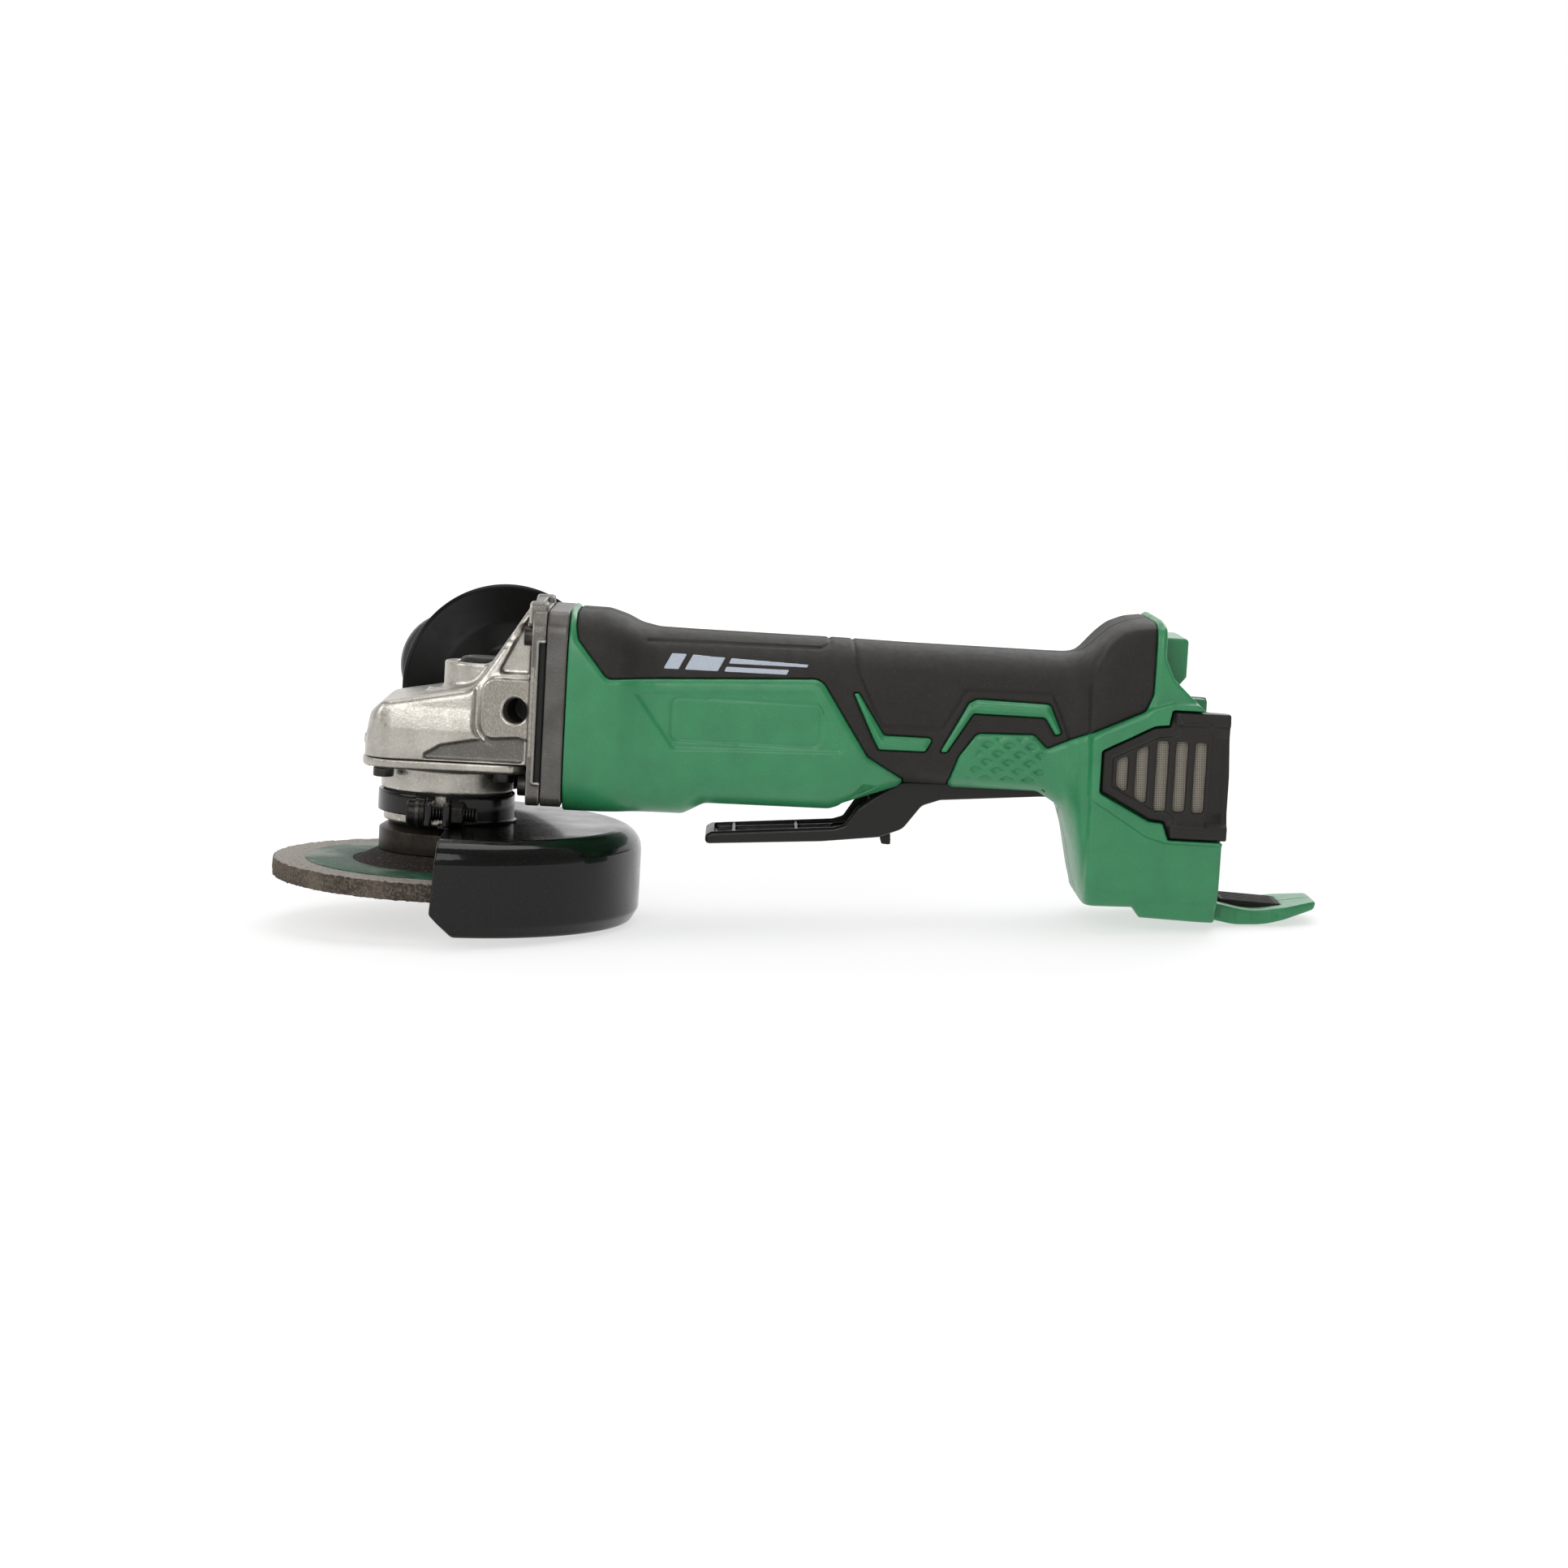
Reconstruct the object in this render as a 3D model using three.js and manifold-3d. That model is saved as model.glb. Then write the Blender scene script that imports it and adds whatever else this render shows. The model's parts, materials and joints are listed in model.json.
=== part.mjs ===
// Cordless angle grinder with a paddle switch, bare (no battery fitted).
// Tool frame, millimetres: the spindle axis is Z, the motor axis runs along +X towards the rear,
// and z = 0 is the top face of the grinding wheel. The -Y side is the operator's left.
// The whole tool is then tilted about Y so that it stands on its guard and its rear foot.
import * as THREE from 'three';
import { mergeVertices } from 'three/addons/utils/BufferGeometryUtils.js';
import Module from 'manifold-3d';

const wasm = await Module();
wasm.setup();

// ---------- driving dimensions ----------
const GAP = 0.3;              // clearance between touching pieces
const RUN = 0.3;              // running clearance of turning and sliding pieces
const AXIS_Z = 54.5;          // height of the motor axis

const WHEEL_R = 57.5;         // 115 mm depressed-centre wheel
const WHEEL_T = 6;
const HUB_RISE = 4;
const SPINDLE_R = 7;          // M14 spindle nose
const FLANGE_R = 22.3;
const FLANGE_TOP = 13.5;
const NUT_R = 17;

const GUARD_R = 66.5;
const GUARD_TOP = 15.2;
const GUARD_LOW = -16.3;
const GUARD_SHEET = 1.8;
const COLLAR_R = 23;
const COLLAR_TOP = 24.6;
const CLAMP_Y = -28;
const CLAMP_Z = 19.6;

const PLATE_LOW = 33.3;       // bearing holder plate
const CASE_LOW = 36.8;        // underside of the gear case
const CASE_HALF = 27;
const NOSE_X = -27.6;
const FLANGE_X = 28.5;        // front face of the gear case's motor flange
const PLATE_X = 34.5;         // front face of the motor plate
const HOUSING_X = 40;         // front face of the housing
const SCREW_XY = [20, 18.5];  // bearing holder screws
const CASE_SCREW = { y: 23.2, dzUp: 25.2, dzLow: -24.7 };

const MODULE_MM = 1.1;
const RING_TEETH = 38;
const PINION_TEETH = 12;
const RING_PITCH = RING_TEETH * MODULE_MM / 2;
const PINION_PITCH = PINION_TEETH * MODULE_MM / 2;
const LOCK_X = 10;            // spindle lock axis
const LOCK_TOP = 68.4;
const LOCK_TRAVEL = 3;
const LOCK_SKIRT = 63 + LOCK_TRAVEL;  // lower edge of the button at rest, clear of the pinion when pressed

const STATOR_R = 23;
const STATOR_X = [56, 98];
const ROTOR_R = 12;
const FAN_R = 24.5;

const HANDLE_X = 23.1;        // side handle holes
const HANDLE_Z = 55;
const HANDLE_FACE = 28;
const HANDLE_LEAN = 16 * Math.PI / 180;

const LEVER_HALF = 14;
const LEVER_PIVOT = [201, 39];
const LOCK_OFF_PIVOT = [146, 25];

const REAR_X = 258.6;         // rear edge of the side walls
const BAY_X = 240;            // back wall of the battery bay
const BAY_HALF = 26.5;
const FOOT_LOW = [272, -4.8]; // lowest point of the foot
const TILT = Math.atan2(FOOT_LOW[1] - GUARD_LOW, FOOT_LOW[0] - (GUARD_R - 5));

// ---------- materials ----------
const finish = (color, roughness, metalness = 0) =>
  new THREE.MeshStandardMaterial({ color, roughness, metalness });
const GREEN = finish(0x3e8c5c, 0.45);
const ELASTOMER = finish(0x2d2b29, 0.8);
const BLACK_PLASTIC = finish(0x262523, 0.45);
const GUARD_BLACK = finish(0x0d0d0d, 0.2, 0.4);
const CAST = finish(0xa8a39a, 0.45, 0.9);
const DARK_CAST = finish(0x5a5856, 0.5, 0.6);
const STEEL = finish(0xb9bbbd, 0.3, 1);
const BLACK_STEEL = finish(0x2b2723, 0.4, 0.8);
const COPPER = finish(0xb06a3a, 0.4, 0.9);
const BRASS = finish(0xc9a44c, 0.3, 1);
const GRIT = finish(0x8b867f, 0.95);
const MESH_GREY = finish(0x8b867a, 0.8);

// ---------- solid helpers ----------
function solid(geometry) {
  const g = geometry.clone();
  g.deleteAttribute('normal');
  g.deleteAttribute('uv');
  const merged = mergeVertices(g, 1e-4);
  const vertProperties = new Float32Array(merged.attributes.position.array);
  const triVerts = new Uint32Array(merged.index.array);
  return new wasm.Manifold(new wasm.Mesh({ numProp: 3, vertProperties, triVerts }));
}

function geometryOf(body) {
  const mesh = body.getMesh();
  const g = new THREE.BufferGeometry();
  g.setAttribute('position', new THREE.BufferAttribute(new Float32Array(mesh.vertProperties), 3));
  g.setIndex(new THREE.BufferAttribute(new Uint32Array(mesh.triVerts), 1));
  return g;
}

const join = (bodies) => bodies.reduce((sum, body) => sum.add(body));
const cut = (body, tools) => tools.reduce((rest, tool) => rest.subtract(tool), body);

// A body of revolution about a vertical axis through (x, y); the profile is [radius, z] pairs.
function turned(profile, { x = 0, y = 0, segments = 24 } = {}) {
  let area = 0;
  profile.forEach(([r0, z0], i) => {
    const [r1, z1] = profile[(i + 1) % profile.length];
    area += r0 * z1 - r1 * z0;
  });
  const points = (area > 0 ? profile : [...profile].reverse()).map(([r, z]) => new THREE.Vector2(r, z));
  if (points.every((p) => p.x > 0)) {
    points.push(points[0].clone());
  }
  const g = new THREE.LatheGeometry(points, segments);
  g.rotateX(Math.PI / 2);
  g.translate(x, y, 0);
  return solid(g);
}

// Turns a body made about Z so that its axis runs along +X through (y, z).
const alongX = (body, y = 0, z = AXIS_Z) => body.rotate([0, 90, 0]).translate([0, y, z]);

const rod = (r, z0, z1, at = {}) => turned([[0, z0], [r, z0], [r, z1], [0, z1]], at);
const tube = (r0, r1, z0, z1, at = {}) => turned([[r0, z0], [r1, z0], [r1, z1], [r0, z1]], at);
const rodX = (r, x0, x1, y = 0, z = AXIS_Z, segments = 24) => alongX(rod(r, x0, x1, { segments }), y, z);
const rodY = (r, x, z, y0, y1, segments = 24) =>
  rod(r, -y1, -y0, { segments }).rotate([90, 0, 0]).translate([x, 0, z]);

function box(x0, x1, y0, y1, z0, z1) {
  const g = new THREE.BoxGeometry(x1 - x0, y1 - y0, z1 - z0);
  g.translate((x0 + x1) / 2, (y0 + y1) / 2, (z0 + z1) / 2);
  return solid(g);
}

// A closed outline whose corners are rounded; each point is [u, v, radius].
function outline(points, radius = 0) {
  const shape = new THREE.Shape();
  const count = points.length;
  points.forEach(([u, v, own], i) => {
    const before = points[(i + count - 1) % count];
    const after = points[(i + 1) % count];
    const back = new THREE.Vector2(before[0] - u, before[1] - v);
    const ahead = new THREE.Vector2(after[0] - u, after[1] - v);
    const reach = Math.min(own ?? radius, back.length() * 0.45, ahead.length() * 0.45);
    back.setLength(reach);
    ahead.setLength(reach);
    const start = [u + back.x, v + back.y];
    if (i === 0) {
      shape.moveTo(...start);
    } else {
      shape.lineTo(...start);
    }
    if (reach > 0) {
      shape.quadraticCurveTo(u, v, u + ahead.x, v + ahead.y);
    }
  });
  shape.closePath();
  return shape;
}

// The outline's points moved outwards by d, with mitred corners; a point keeps its own radius.
function grown(points, d) {
  const count = points.length;
  let area = 0;
  points.forEach(([u, v], i) => {
    const [u1, v1] = points[(i + 1) % count];
    area += u * v1 - u1 * v;
  });
  const side = Math.sign(area);
  return points.map(([u, v, own], i) => {
    const before = points[(i + count - 1) % count];
    const after = points[(i + 1) % count];
    const n0 = new THREE.Vector2(v - before[1], before[0] - u).normalize();
    const n1 = new THREE.Vector2(after[1] - v, u - after[0]).normalize();
    const reach = side * d / (1 + n0.dot(n1));
    return [u + (n0.x + n1.x) * reach, v + (n0.y + n1.y) * reach, own];
  });
}

const rectangle = (u0, u1, v0, v1, radius) => outline([[u0, v0], [u1, v0], [u1, v1], [u0, v1]], radius);

function extruded(shape, depth, curveSegments = 2) {
  return new THREE.ExtrudeGeometry(shape, { depth, bevelEnabled: false, curveSegments });
}

// Prisms: a plan outline raised along Z, a side outline (x, z) along Y, a front outline (y, z) along X.
const prismZ = (shape, z0, z1) => solid(extruded(shape, z1 - z0)).translate([0, 0, z0]);
const prismY = (shape, y0, y1) => solid(extruded(shape, y1 - y0).rotateX(Math.PI / 2)).translate([0, y1, 0]);

function prismX(shape, x0, x1) {
  const turn = new THREE.Matrix4().makeBasis(
    new THREE.Vector3(0, 1, 0), new THREE.Vector3(0, 0, 1), new THREE.Vector3(1, 0, 0));
  return solid(extruded(shape, x1 - x0).applyMatrix4(turn)).translate([x0, 0, 0]);
}

// A closed tube of round section along a curve.
function wire(curve, radius, steps, sides = 6) {
  const section = new THREE.Shape();
  section.absarc(0, 0, radius, 0, 2 * Math.PI, false);
  const options = { steps, bevelEnabled: false, extrudePath: curve, curveSegments: sides };
  return solid(new THREE.ExtrudeGeometry(section, options));
}

function helix(radius, z0, z1, turns, samples = 12) {
  const points = [];
  const count = Math.round(turns * samples);
  for (let i = 0; i <= count; i += 1) {
    const a = 2 * Math.PI * i / samples;
    points.push(new THREE.Vector3(radius * Math.cos(a), radius * Math.sin(a), z0 + (z1 - z0) * i / count));
  }
  return new THREE.CatmullRomCurve3(points);
}

// A solid through superellipse sections [x, zLow, zHigh, halfWidth, exponent], shrunk by inset.
function loft(sections, inset = 0, around = 16) {
  const positions = [];
  const index = [];
  for (const [x, low, high, half, exponent] of sections) {
    const middle = (low + high) / 2;
    for (let k = 0; k < around; k += 1) {
      const a = 2 * Math.PI * k / around;
      const c = Math.cos(a);
      const s = Math.sin(a);
      const y = (half - inset) * Math.sign(c) * Math.abs(c) ** (2 / exponent);
      const z = middle + ((high - low) / 2 - inset) * Math.sign(s) * Math.abs(s) ** (2 / exponent);
      positions.push(x, y, z);
    }
  }
  const last = sections.length - 1;
  for (let i = 0; i < last; i += 1) {
    for (let k = 0; k < around; k += 1) {
      const a = i * around + k;
      const b = i * around + (k + 1) % around;
      index.push(a, b, b + around, a, b + around, a + around);
    }
  }
  for (let k = 1; k < around - 1; k += 1) {
    index.push(0, k + 1, k);
    index.push(last * around, last * around + k, last * around + k + 1);
  }
  const g = new THREE.BufferGeometry();
  g.setAttribute('position', new THREE.Float32BufferAttribute(positions, 3));
  g.setIndex(index);
  return solid(g);
}

// ---------- wheel and spindle ----------
function grindingWheel() {
  return turned([
    [11.2, HUB_RISE - WHEEL_T], [22.5, HUB_RISE - WHEEL_T], [30, -WHEEL_T], [WHEEL_R, -WHEEL_T],
    [WHEEL_R, 0], [30, 0], [22.5, HUB_RISE], [11.2, HUB_RISE],
  ], { segments: 48 });
}

function innerFlange() {
  return turned([
    [SPINDLE_R + GAP, -0.5], [10.9, -0.5], [10.9, HUB_RISE + GAP], [FLANGE_R, HUB_RISE + GAP],
    [FLANGE_R, FLANGE_TOP - 2], [19, FLANGE_TOP], [SPINDLE_R + GAP, FLANGE_TOP],
  ], { segments: 28 });
}

function wheelNut() {
  const top = HUB_RISE - WHEEL_T - GAP;
  const body = turned([
    [SPINDLE_R + GAP, top - 6], [NUT_R - 2, top - 6], [NUT_R, top - 4.5], [NUT_R, top],
    [SPINDLE_R + GAP, top],
  ]);
  const pinHoles = [-1, 1].map((side) => rod(2.5, top - 7, top - 2, { x: side * 12, segments: 16 }));
  return cut(body, pinHoles);
}

function spindle() {
  return turned([
    [0, -9.5], [SPINDLE_R - 1, -9.5], [SPINDLE_R, -8.5], [SPINDLE_R, 13.8], [8.6, 13.8], [8.6, 20],
    [6, 20], [6, 33], [5, 33], [5, 49], [4, 49], [4, 57.5], [0, 57.5],
  ], { segments: 16 });
}

const spindleBearing = () => tube(6 + RUN, 16, 20.3, 30.3, { segments: 20 });
const spindleBush = () => tube(4 + RUN, 6.2, 52, 58.4, { segments: 16 });

// One bevel tooth of the ring gear as an eight-cornered wedge that tapers towards the cone's tip.
function ringTooth(angle) {
  const corners = [];
  for (const r of [14, RING_PITCH + 0.6]) {
    const scale = r / RING_PITCH;
    const root = AXIS_Z - (PINION_PITCH + 1.5) * scale;
    const tip = AXIS_Z - (PINION_PITCH - 0.9) * scale;
    const [wide, narrow] = [scale, 0.35 * scale];
    corners.push([r, -wide, root], [r, wide, root], [r, narrow, tip], [r, -narrow, tip]);
  }
  const faces = [[0, 3, 2, 1], [4, 5, 6, 7], [0, 1, 5, 4], [1, 2, 6, 5], [2, 3, 7, 6], [3, 0, 4, 7]];
  const g = new THREE.BufferGeometry();
  g.setAttribute('position', new THREE.Float32BufferAttribute(corners.flat(), 3));
  g.setIndex(faces.flatMap(([a, b, c, d]) => [a, b, c, a, c, d]));
  g.rotateZ(angle);
  return solid(g);
}

function ringGear() {
  const face = (r) => AXIS_Z - (PINION_PITCH + 1.2) * r / RING_PITCH;
  const blank = turned([
    [5 + GAP, 39], [21.8, 39], [21.8, face(21.8)], [13.4, face(13.4)], [13.5, 45], [5 + GAP, 45],
  ], { segments: RING_TEETH / 2 });
  const teeth = [];
  for (let i = 0; i < RING_TEETH; i += 1) {
    teeth.push(ringTooth(2 * Math.PI * (i + 0.5) / RING_TEETH));
  }
  const lockHoles = [];
  for (const [x, y] of [[LOCK_X, 0], [0, LOCK_X], [-LOCK_X, 0], [0, -LOCK_X]]) {
    lockHoles.push(rod(2.9, 38, 46, { x, y, segments: 10 }));
  }
  return cut(join([blank, ...teeth]), lockHoles);
}

function pinion() {
  const shape = new THREE.Shape();
  const root = PINION_PITCH - 1.2;
  const tip = PINION_PITCH + 0.9;
  for (let i = 0; i < PINION_TEETH; i += 1) {
    const a = 2 * Math.PI * i / PINION_TEETH;
    const corner = (r, half) => [r * Math.cos(a + half / r), r * Math.sin(a + half / r)];
    const tooth = [corner(root, -1), corner(tip, -0.35), corner(tip, 0.35), corner(root, 1)];
    tooth.forEach((point, k) => (i + k === 0 ? shape.moveTo(...point) : shape.lineTo(...point)));
  }
  shape.closePath();
  const [front, back] = [14.2, RING_PITCH + 0.6];
  const g = extruded(shape, back - front);
  const position = g.attributes.position;
  for (let i = 0; i < position.count; i += 1) {
    const x = front + position.getZ(i);
    const scale = x / RING_PITCH;
    position.setXYZ(i, position.getX(i) * scale, position.getY(i) * scale, x);
  }
  const bore = rod(2.5 + GAP, front - 1, back + 1, { segments: 16 });
  return alongX(cut(solid(g), [bore]));
}

// ---------- guard ----------
function guardShell() {
  const inner = COLLAR_R - 3;
  const sheet = [
    [inner, GUARD_TOP - GUARD_SHEET], [GUARD_R - 6, GUARD_TOP - GUARD_SHEET],
    [GUARD_R - 2.6, GUARD_TOP - 3.4], [GUARD_R - GUARD_SHEET, GUARD_TOP - 6.5],
    [GUARD_R - GUARD_SHEET, GUARD_LOW + 5.5], [GUARD_R - 3, GUARD_LOW + 2.8],
    [GUARD_R - 6.2, GUARD_LOW + 1.6],
    [GUARD_R - 6.2, GUARD_LOW], [GUARD_R - 3.4, GUARD_LOW], [GUARD_R - 1, GUARD_LOW + 2.2],
    [GUARD_R, GUARD_LOW + 5.5], [GUARD_R, GUARD_TOP - 5.5],
    [GUARD_R - 1.6, GUARD_TOP - 1.8], [GUARD_R - 5.5, GUARD_TOP], [inner, GUARD_TOP],
  ];
  const shell = turned(sheet, { segments: 44 });
  const frontHalf = box(-80, 0, -80, 80, -30, 30);
  const corner = outline([[-1, GUARD_LOW + 7.5], [-1, GUARD_LOW - 1], [7.4, GUARD_LOW - 1]]);
  return cut(shell, [frontHalf, prismY(corner, -80, 80)]);
}

function guard() {
  const inner = COLLAR_R - 1.7;
  const collar = tube(inner - 2, COLLAR_R, GUARD_TOP - GUARD_SHEET, COLLAR_TOP, { segments: 32 });
  const ears = box(-4.6, 3.6, -34, -20, 15.8, 23.3);
  const slit = box(-2, 1.2, -40, -18, 10, 30);
  const bore = rod(inner, 0, 30, { segments: 32 });
  const hole = rodX(2.8, -8, 8, CLAMP_Y, CLAMP_Z, 16);
  return cut(join([guardShell(), cut(join([collar, ears]), [slit, hole])]), [bore]);
}

function clampScrew() {
  const head = rodX(4.2, -10.8, -7.9, CLAMP_Y, CLAMP_Z, 24);
  const washer = rodX(4.6, -7.9, -4.9, CLAMP_Y, CLAMP_Z, 24);
  const shank = rodX(2.5, -8, 12.4, CLAMP_Y, CLAMP_Z, 16);
  return join([head, washer, shank]);
}

function clampNut() {
  const hexagon = rodX(4.5, 3.9, 7.9, CLAMP_Y, CLAMP_Z, 6);
  return cut(hexagon, [rodX(2.8, 3, 9, CLAMP_Y, CLAMP_Z, 16)]);
}

// ---------- gear case ----------
const CASE_PLAN = outline([
  [NOSE_X, -CASE_HALF, 12], [FLANGE_X + 4, -CASE_HALF, 0], [FLANGE_X + 4, CASE_HALF, 0],
  [NOSE_X, CASE_HALF, 12],
]);

function caseBody() {
  const side = outline([
    [NOSE_X, CASE_LOW], [NOSE_X, 42, 3], [-25.6, 51.5, 3], [-22, 55, 2], [11, 61.2, 6],
    [26.6, 88.6, 3], [FLANGE_X + 2, 88.6], [FLANGE_X + 2, CASE_LOW],
  ]);
  const front = outline([
    [-CASE_HALF, CASE_LOW], [CASE_HALF, CASE_LOW], [CASE_HALF, 47, 3], [25, 54, 6], [22, 90, 2],
    [-22, 90, 2], [-25, 54, 6], [-CASE_HALF, 47, 3],
  ]);
  const block = prismY(side, -40, 40);
  return block.intersect(prismZ(CASE_PLAN, CASE_LOW, 95)).intersect(prismX(front, -40, 40));
}

function motorFlange(x0, x1, top) {
  const low = AXIS_Z - 30.8;
  const face = outline([
    [-30, low, 4], [30, low, 4], [30, 83, 5], [25, top, 3], [-25, top, 3], [-30, 83, 5],
  ]);
  return prismX(face, x0, x1);
}

// A body made along the handle's own axis, from z = 0 at the milled face, put in place on one side.
function leaned(body, side) {
  const placed = body.rotate([-90, 0, 0]).rotate([0, 0, HANDLE_LEAN * 180 / Math.PI])
    .translate([HANDLE_X, HANDLE_FACE, HANDLE_Z]);
  return side < 0 ? placed.mirror([0, 1, 0]) : placed;
}

function caseScrewPlaces() {
  const places = [];
  for (const y of [-CASE_SCREW.y, CASE_SCREW.y]) {
    for (const dz of [CASE_SCREW.dzUp, CASE_SCREW.dzLow]) {
      places.push([y, AXIS_Z + dz]);
    }
  }
  return places;
}

function holderScrewPlaces() {
  const [x, y] = SCREW_XY;
  return [[-x, -y], [x, -y], [-x, y], [x, y]];
}

function gearCase() {
  const frontOfPlate = box(-50, PLATE_X - 1, -50, 50, 0, 100);
  const lockBoss = rod(12.5, 50, LOCK_TOP, { x: LOCK_X });
  const solids = [
    caseBody(), motorFlange(FLANGE_X, PLATE_X, 89), lockBoss,
    ...[-1, 1].map((side) => leaned(rod(12.5, -13, 0), side).intersect(frontOfPlate)),
  ];
  const gearRoom = turned([
    [0, CASE_LOW - 1], [23.8, CASE_LOW - 1], [23.8, 49], [15, 52.2], [0, 52.2],
  ], { segments: 32 });
  const hollows = [
    gearRoom,
    rod(6.5, 52, 58.8, { segments: 24 }),
    rod(3, 50, 60, { x: LOCK_X, segments: 16 }),
    rod(8.6, 58, 95, { x: LOCK_X, segments: 24 }),
    rodX(9.4, 12.4, 31),
    rodX(11.6, 30.5, PLATE_X + 1),
    rodX(21, 33, PLATE_X + 1),
  ];
  for (const side of [-1, 1]) {
    hollows.push(leaned(rod(4 + RUN, -12.5, 4, { segments: 16 }), side), leaned(rod(13.2, 0, 8), side));
    const [s0, s1] = side < 0 ? [-31, -28.2] : [28.2, 31];
    hollows.push(box(30, 32.4, s0, s1, 32, 78));
  }
  holderScrewPlaces().forEach(([x, y]) => hollows.push(rod(2 + GAP, 35, 47.5, { x, y, segments: 8 })));
  caseScrewPlaces().forEach(([y, z]) => {
    hollows.push(rodX(2 + GAP, 20, 40, y, z, 8));
    hollows.push(rodX(4, 10, FLANGE_X, y, z, 14));
  });
  return cut(join(solids), hollows);
}

function bearingHolder() {
  const plan = outline([
    [NOSE_X, -26.4, 14], [27.4, -26.4, 8], [27.4, 26.4, 8], [NOSE_X, 26.4, 14],
  ]);
  const plate = prismZ(plan, PLATE_LOW, CASE_LOW - GAP);
  const barrel = turned([
    [0, 14.4], [COLLAR_R - 2, 14.4], [COLLAR_R - 2, COLLAR_TOP + GAP], [22, COLLAR_TOP + GAP],
    [22, PLATE_LOW + 1],
    [0, PLATE_LOW + 1],
  ], { segments: 32 });
  const hollows = [
    rod(16 + GAP, 20, 40), rod(9.2, 10, 40, { segments: 24 }),
    ...holderScrewPlaces().map(([x, y]) => rod(2 + GAP, 31, 40, { x, y, segments: 8 })),
  ];
  return cut(join([plate, barrel]), hollows);
}

function holderScrew([x, y]) {
  const head = rod(3.45, PLATE_LOW - GAP - 2.9, PLATE_LOW - GAP, { x, y, segments: 12 });
  const socket = rod(1.6, PLATE_LOW - 5, PLATE_LOW - 1.6, { x, y, segments: 6 });
  return cut(join([head, rod(2, PLATE_LOW - 1, 47, { x, y, segments: 8 })]), [socket]);
}

function caseScrew([y, z]) {
  const head = rodX(3.2, FLANGE_X - GAP - 3.2, FLANGE_X - GAP, y, z, 12);
  const socket = rodX(1.5, FLANGE_X - 6, FLANGE_X - 2, y, z, 6);
  return cut(join([head, rodX(2, FLANGE_X - 2, 52, y, z, 8)]), [socket]);
}

// ---------- spindle lock ----------
function lockButton() {
  const cap = turned([
    [0, LOCK_SKIRT], [7.4, LOCK_SKIRT], [7.4, LOCK_TOP + 0.6], [6.4, LOCK_TOP + 1.7],
    [3.5, LOCK_TOP + 2.3], [0, LOCK_TOP + 2.4],
  ], { x: LOCK_X, segments: 20 });
  return cut(cap, [rod(5, 60, LOCK_SKIRT + 2.6, { x: LOCK_X, segments: 16 })]);
}

const lockPin = () => rod(2.3, 46.6, LOCK_SKIRT + 2.3, { x: LOCK_X, segments: 16 });
const lockSpring = () => wire(helix(3.4, 58.9, LOCK_SKIRT + 1.6, 3), 0.4, 30, 2).translate([LOCK_X, 0, 0]);

// ---------- motor ----------
function motorPlate() {
  const body = cut(motorFlange(PLATE_X + GAP, HOUSING_X - GAP, 88.6), [rodX(19, 30, 45)]);
  const hub = rodX(14, PLATE_X + GAP, HOUSING_X - GAP);
  const spokes = [0, 45, 90, 135].map((a) => {
    const bar = box(PLATE_X + GAP, HOUSING_X - GAP, -22, 22, -2, 2);
    return bar.rotate([a, 0, 0]).translate([0, 0, AXIS_Z]);
  });
  const holes = [rodX(11 + GAP, 30, 45)];
  caseScrewPlaces().forEach(([y, z]) => holes.push(rodX(2 + GAP, 30, 45, y, z, 8)));
  return cut(join([body, hub, ...spokes]), holes);
}

function stator() {
  const ring = alongX(tube(STATOR_R - 5, STATOR_R, ...STATOR_X));
  const poles = [];
  for (let i = 0; i < 6; i += 1) {
    const pole = box(STATOR_X[0] + 3, STATOR_X[1] - 3, -3.5, 3.5, ROTOR_R + RUN + 0.4, STATOR_R - 4);
    poles.push(pole.rotate([60 * i, 0, 0]).translate([0, 0, AXIS_Z]));
  }
  return join([ring, ...poles]);
}

function rotorShaft() {
  return alongX(turned([
    [0, 14], [2.5, 14], [2.5, 22.4], [4, 22.4], [4, 112], [0, 112],
  ], { segments: 16 }));
}

const rotorCore = () => alongX(tube(4 + GAP, ROTOR_R, STATOR_X[0] + 2, STATOR_X[1] - 2, { segments: 16 }));
const frontBearing = () => alongX(tube(4 + RUN, 11, 32, 39, { segments: 16 }));
const rearBearing = () => alongX(tube(4 + RUN, 9.5, 104, 110, { segments: 16 }));

function coolingFan() {
  const disc = alongX(tube(4 + GAP, FAN_R, 50, 51.6));
  const hub = alongX(tube(4 + GAP, 7.5, 43, 51));
  const blades = [];
  for (let i = 0; i < 11; i += 1) {
    const blade = box(43, 50.5, -0.6, 0.6, 11, FAN_R - 0.5);
    blades.push(blade.rotate([360 * i / 11, 0, 0]).translate([0, 0, AXIS_Z]));
  }
  return join([disc, hub, ...blades]);
}

// ---------- housing ----------
// Sections of the outer skin: [x, zLow, zHigh, halfWidth, exponent].
const SKIN = [
  [HOUSING_X, 20.3, 88.6, 30.6, 5],
  [54, 20.2, 88.5, 31.4, 4.2],
  [61, 21.7, 85.4, 30.5, 3.8],
  [67, 22, 83.3, 29.8, 3.6],
  [80, 22.2, 83.1, 29.2, 3.5],
  [87, 26.3, 83.1, 28.8, 3.3],
  [129, 26.5, 82.9, 28, 3.1],
  [153, 35.4, 82.5, 27.2, 3],
  [198, 35.6, 82.3, 27.4, 3],
  [206, 31, 82.7, 29, 3.3],
  [210, 21, 84.2, 30.6, 3.7],
  [213.5, 5.5, 87.2, 31.7, 4.4],
  [217, 2, 91, 32.3, 5.2],
  [225, 1.6, 95.4, 32.7, 6],
  [REAR_X, 1.5, 97.4, 33, 6],
];
const WALL = 3;
const MOLD_T = 2;             // thickness of the soft overmould

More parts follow.
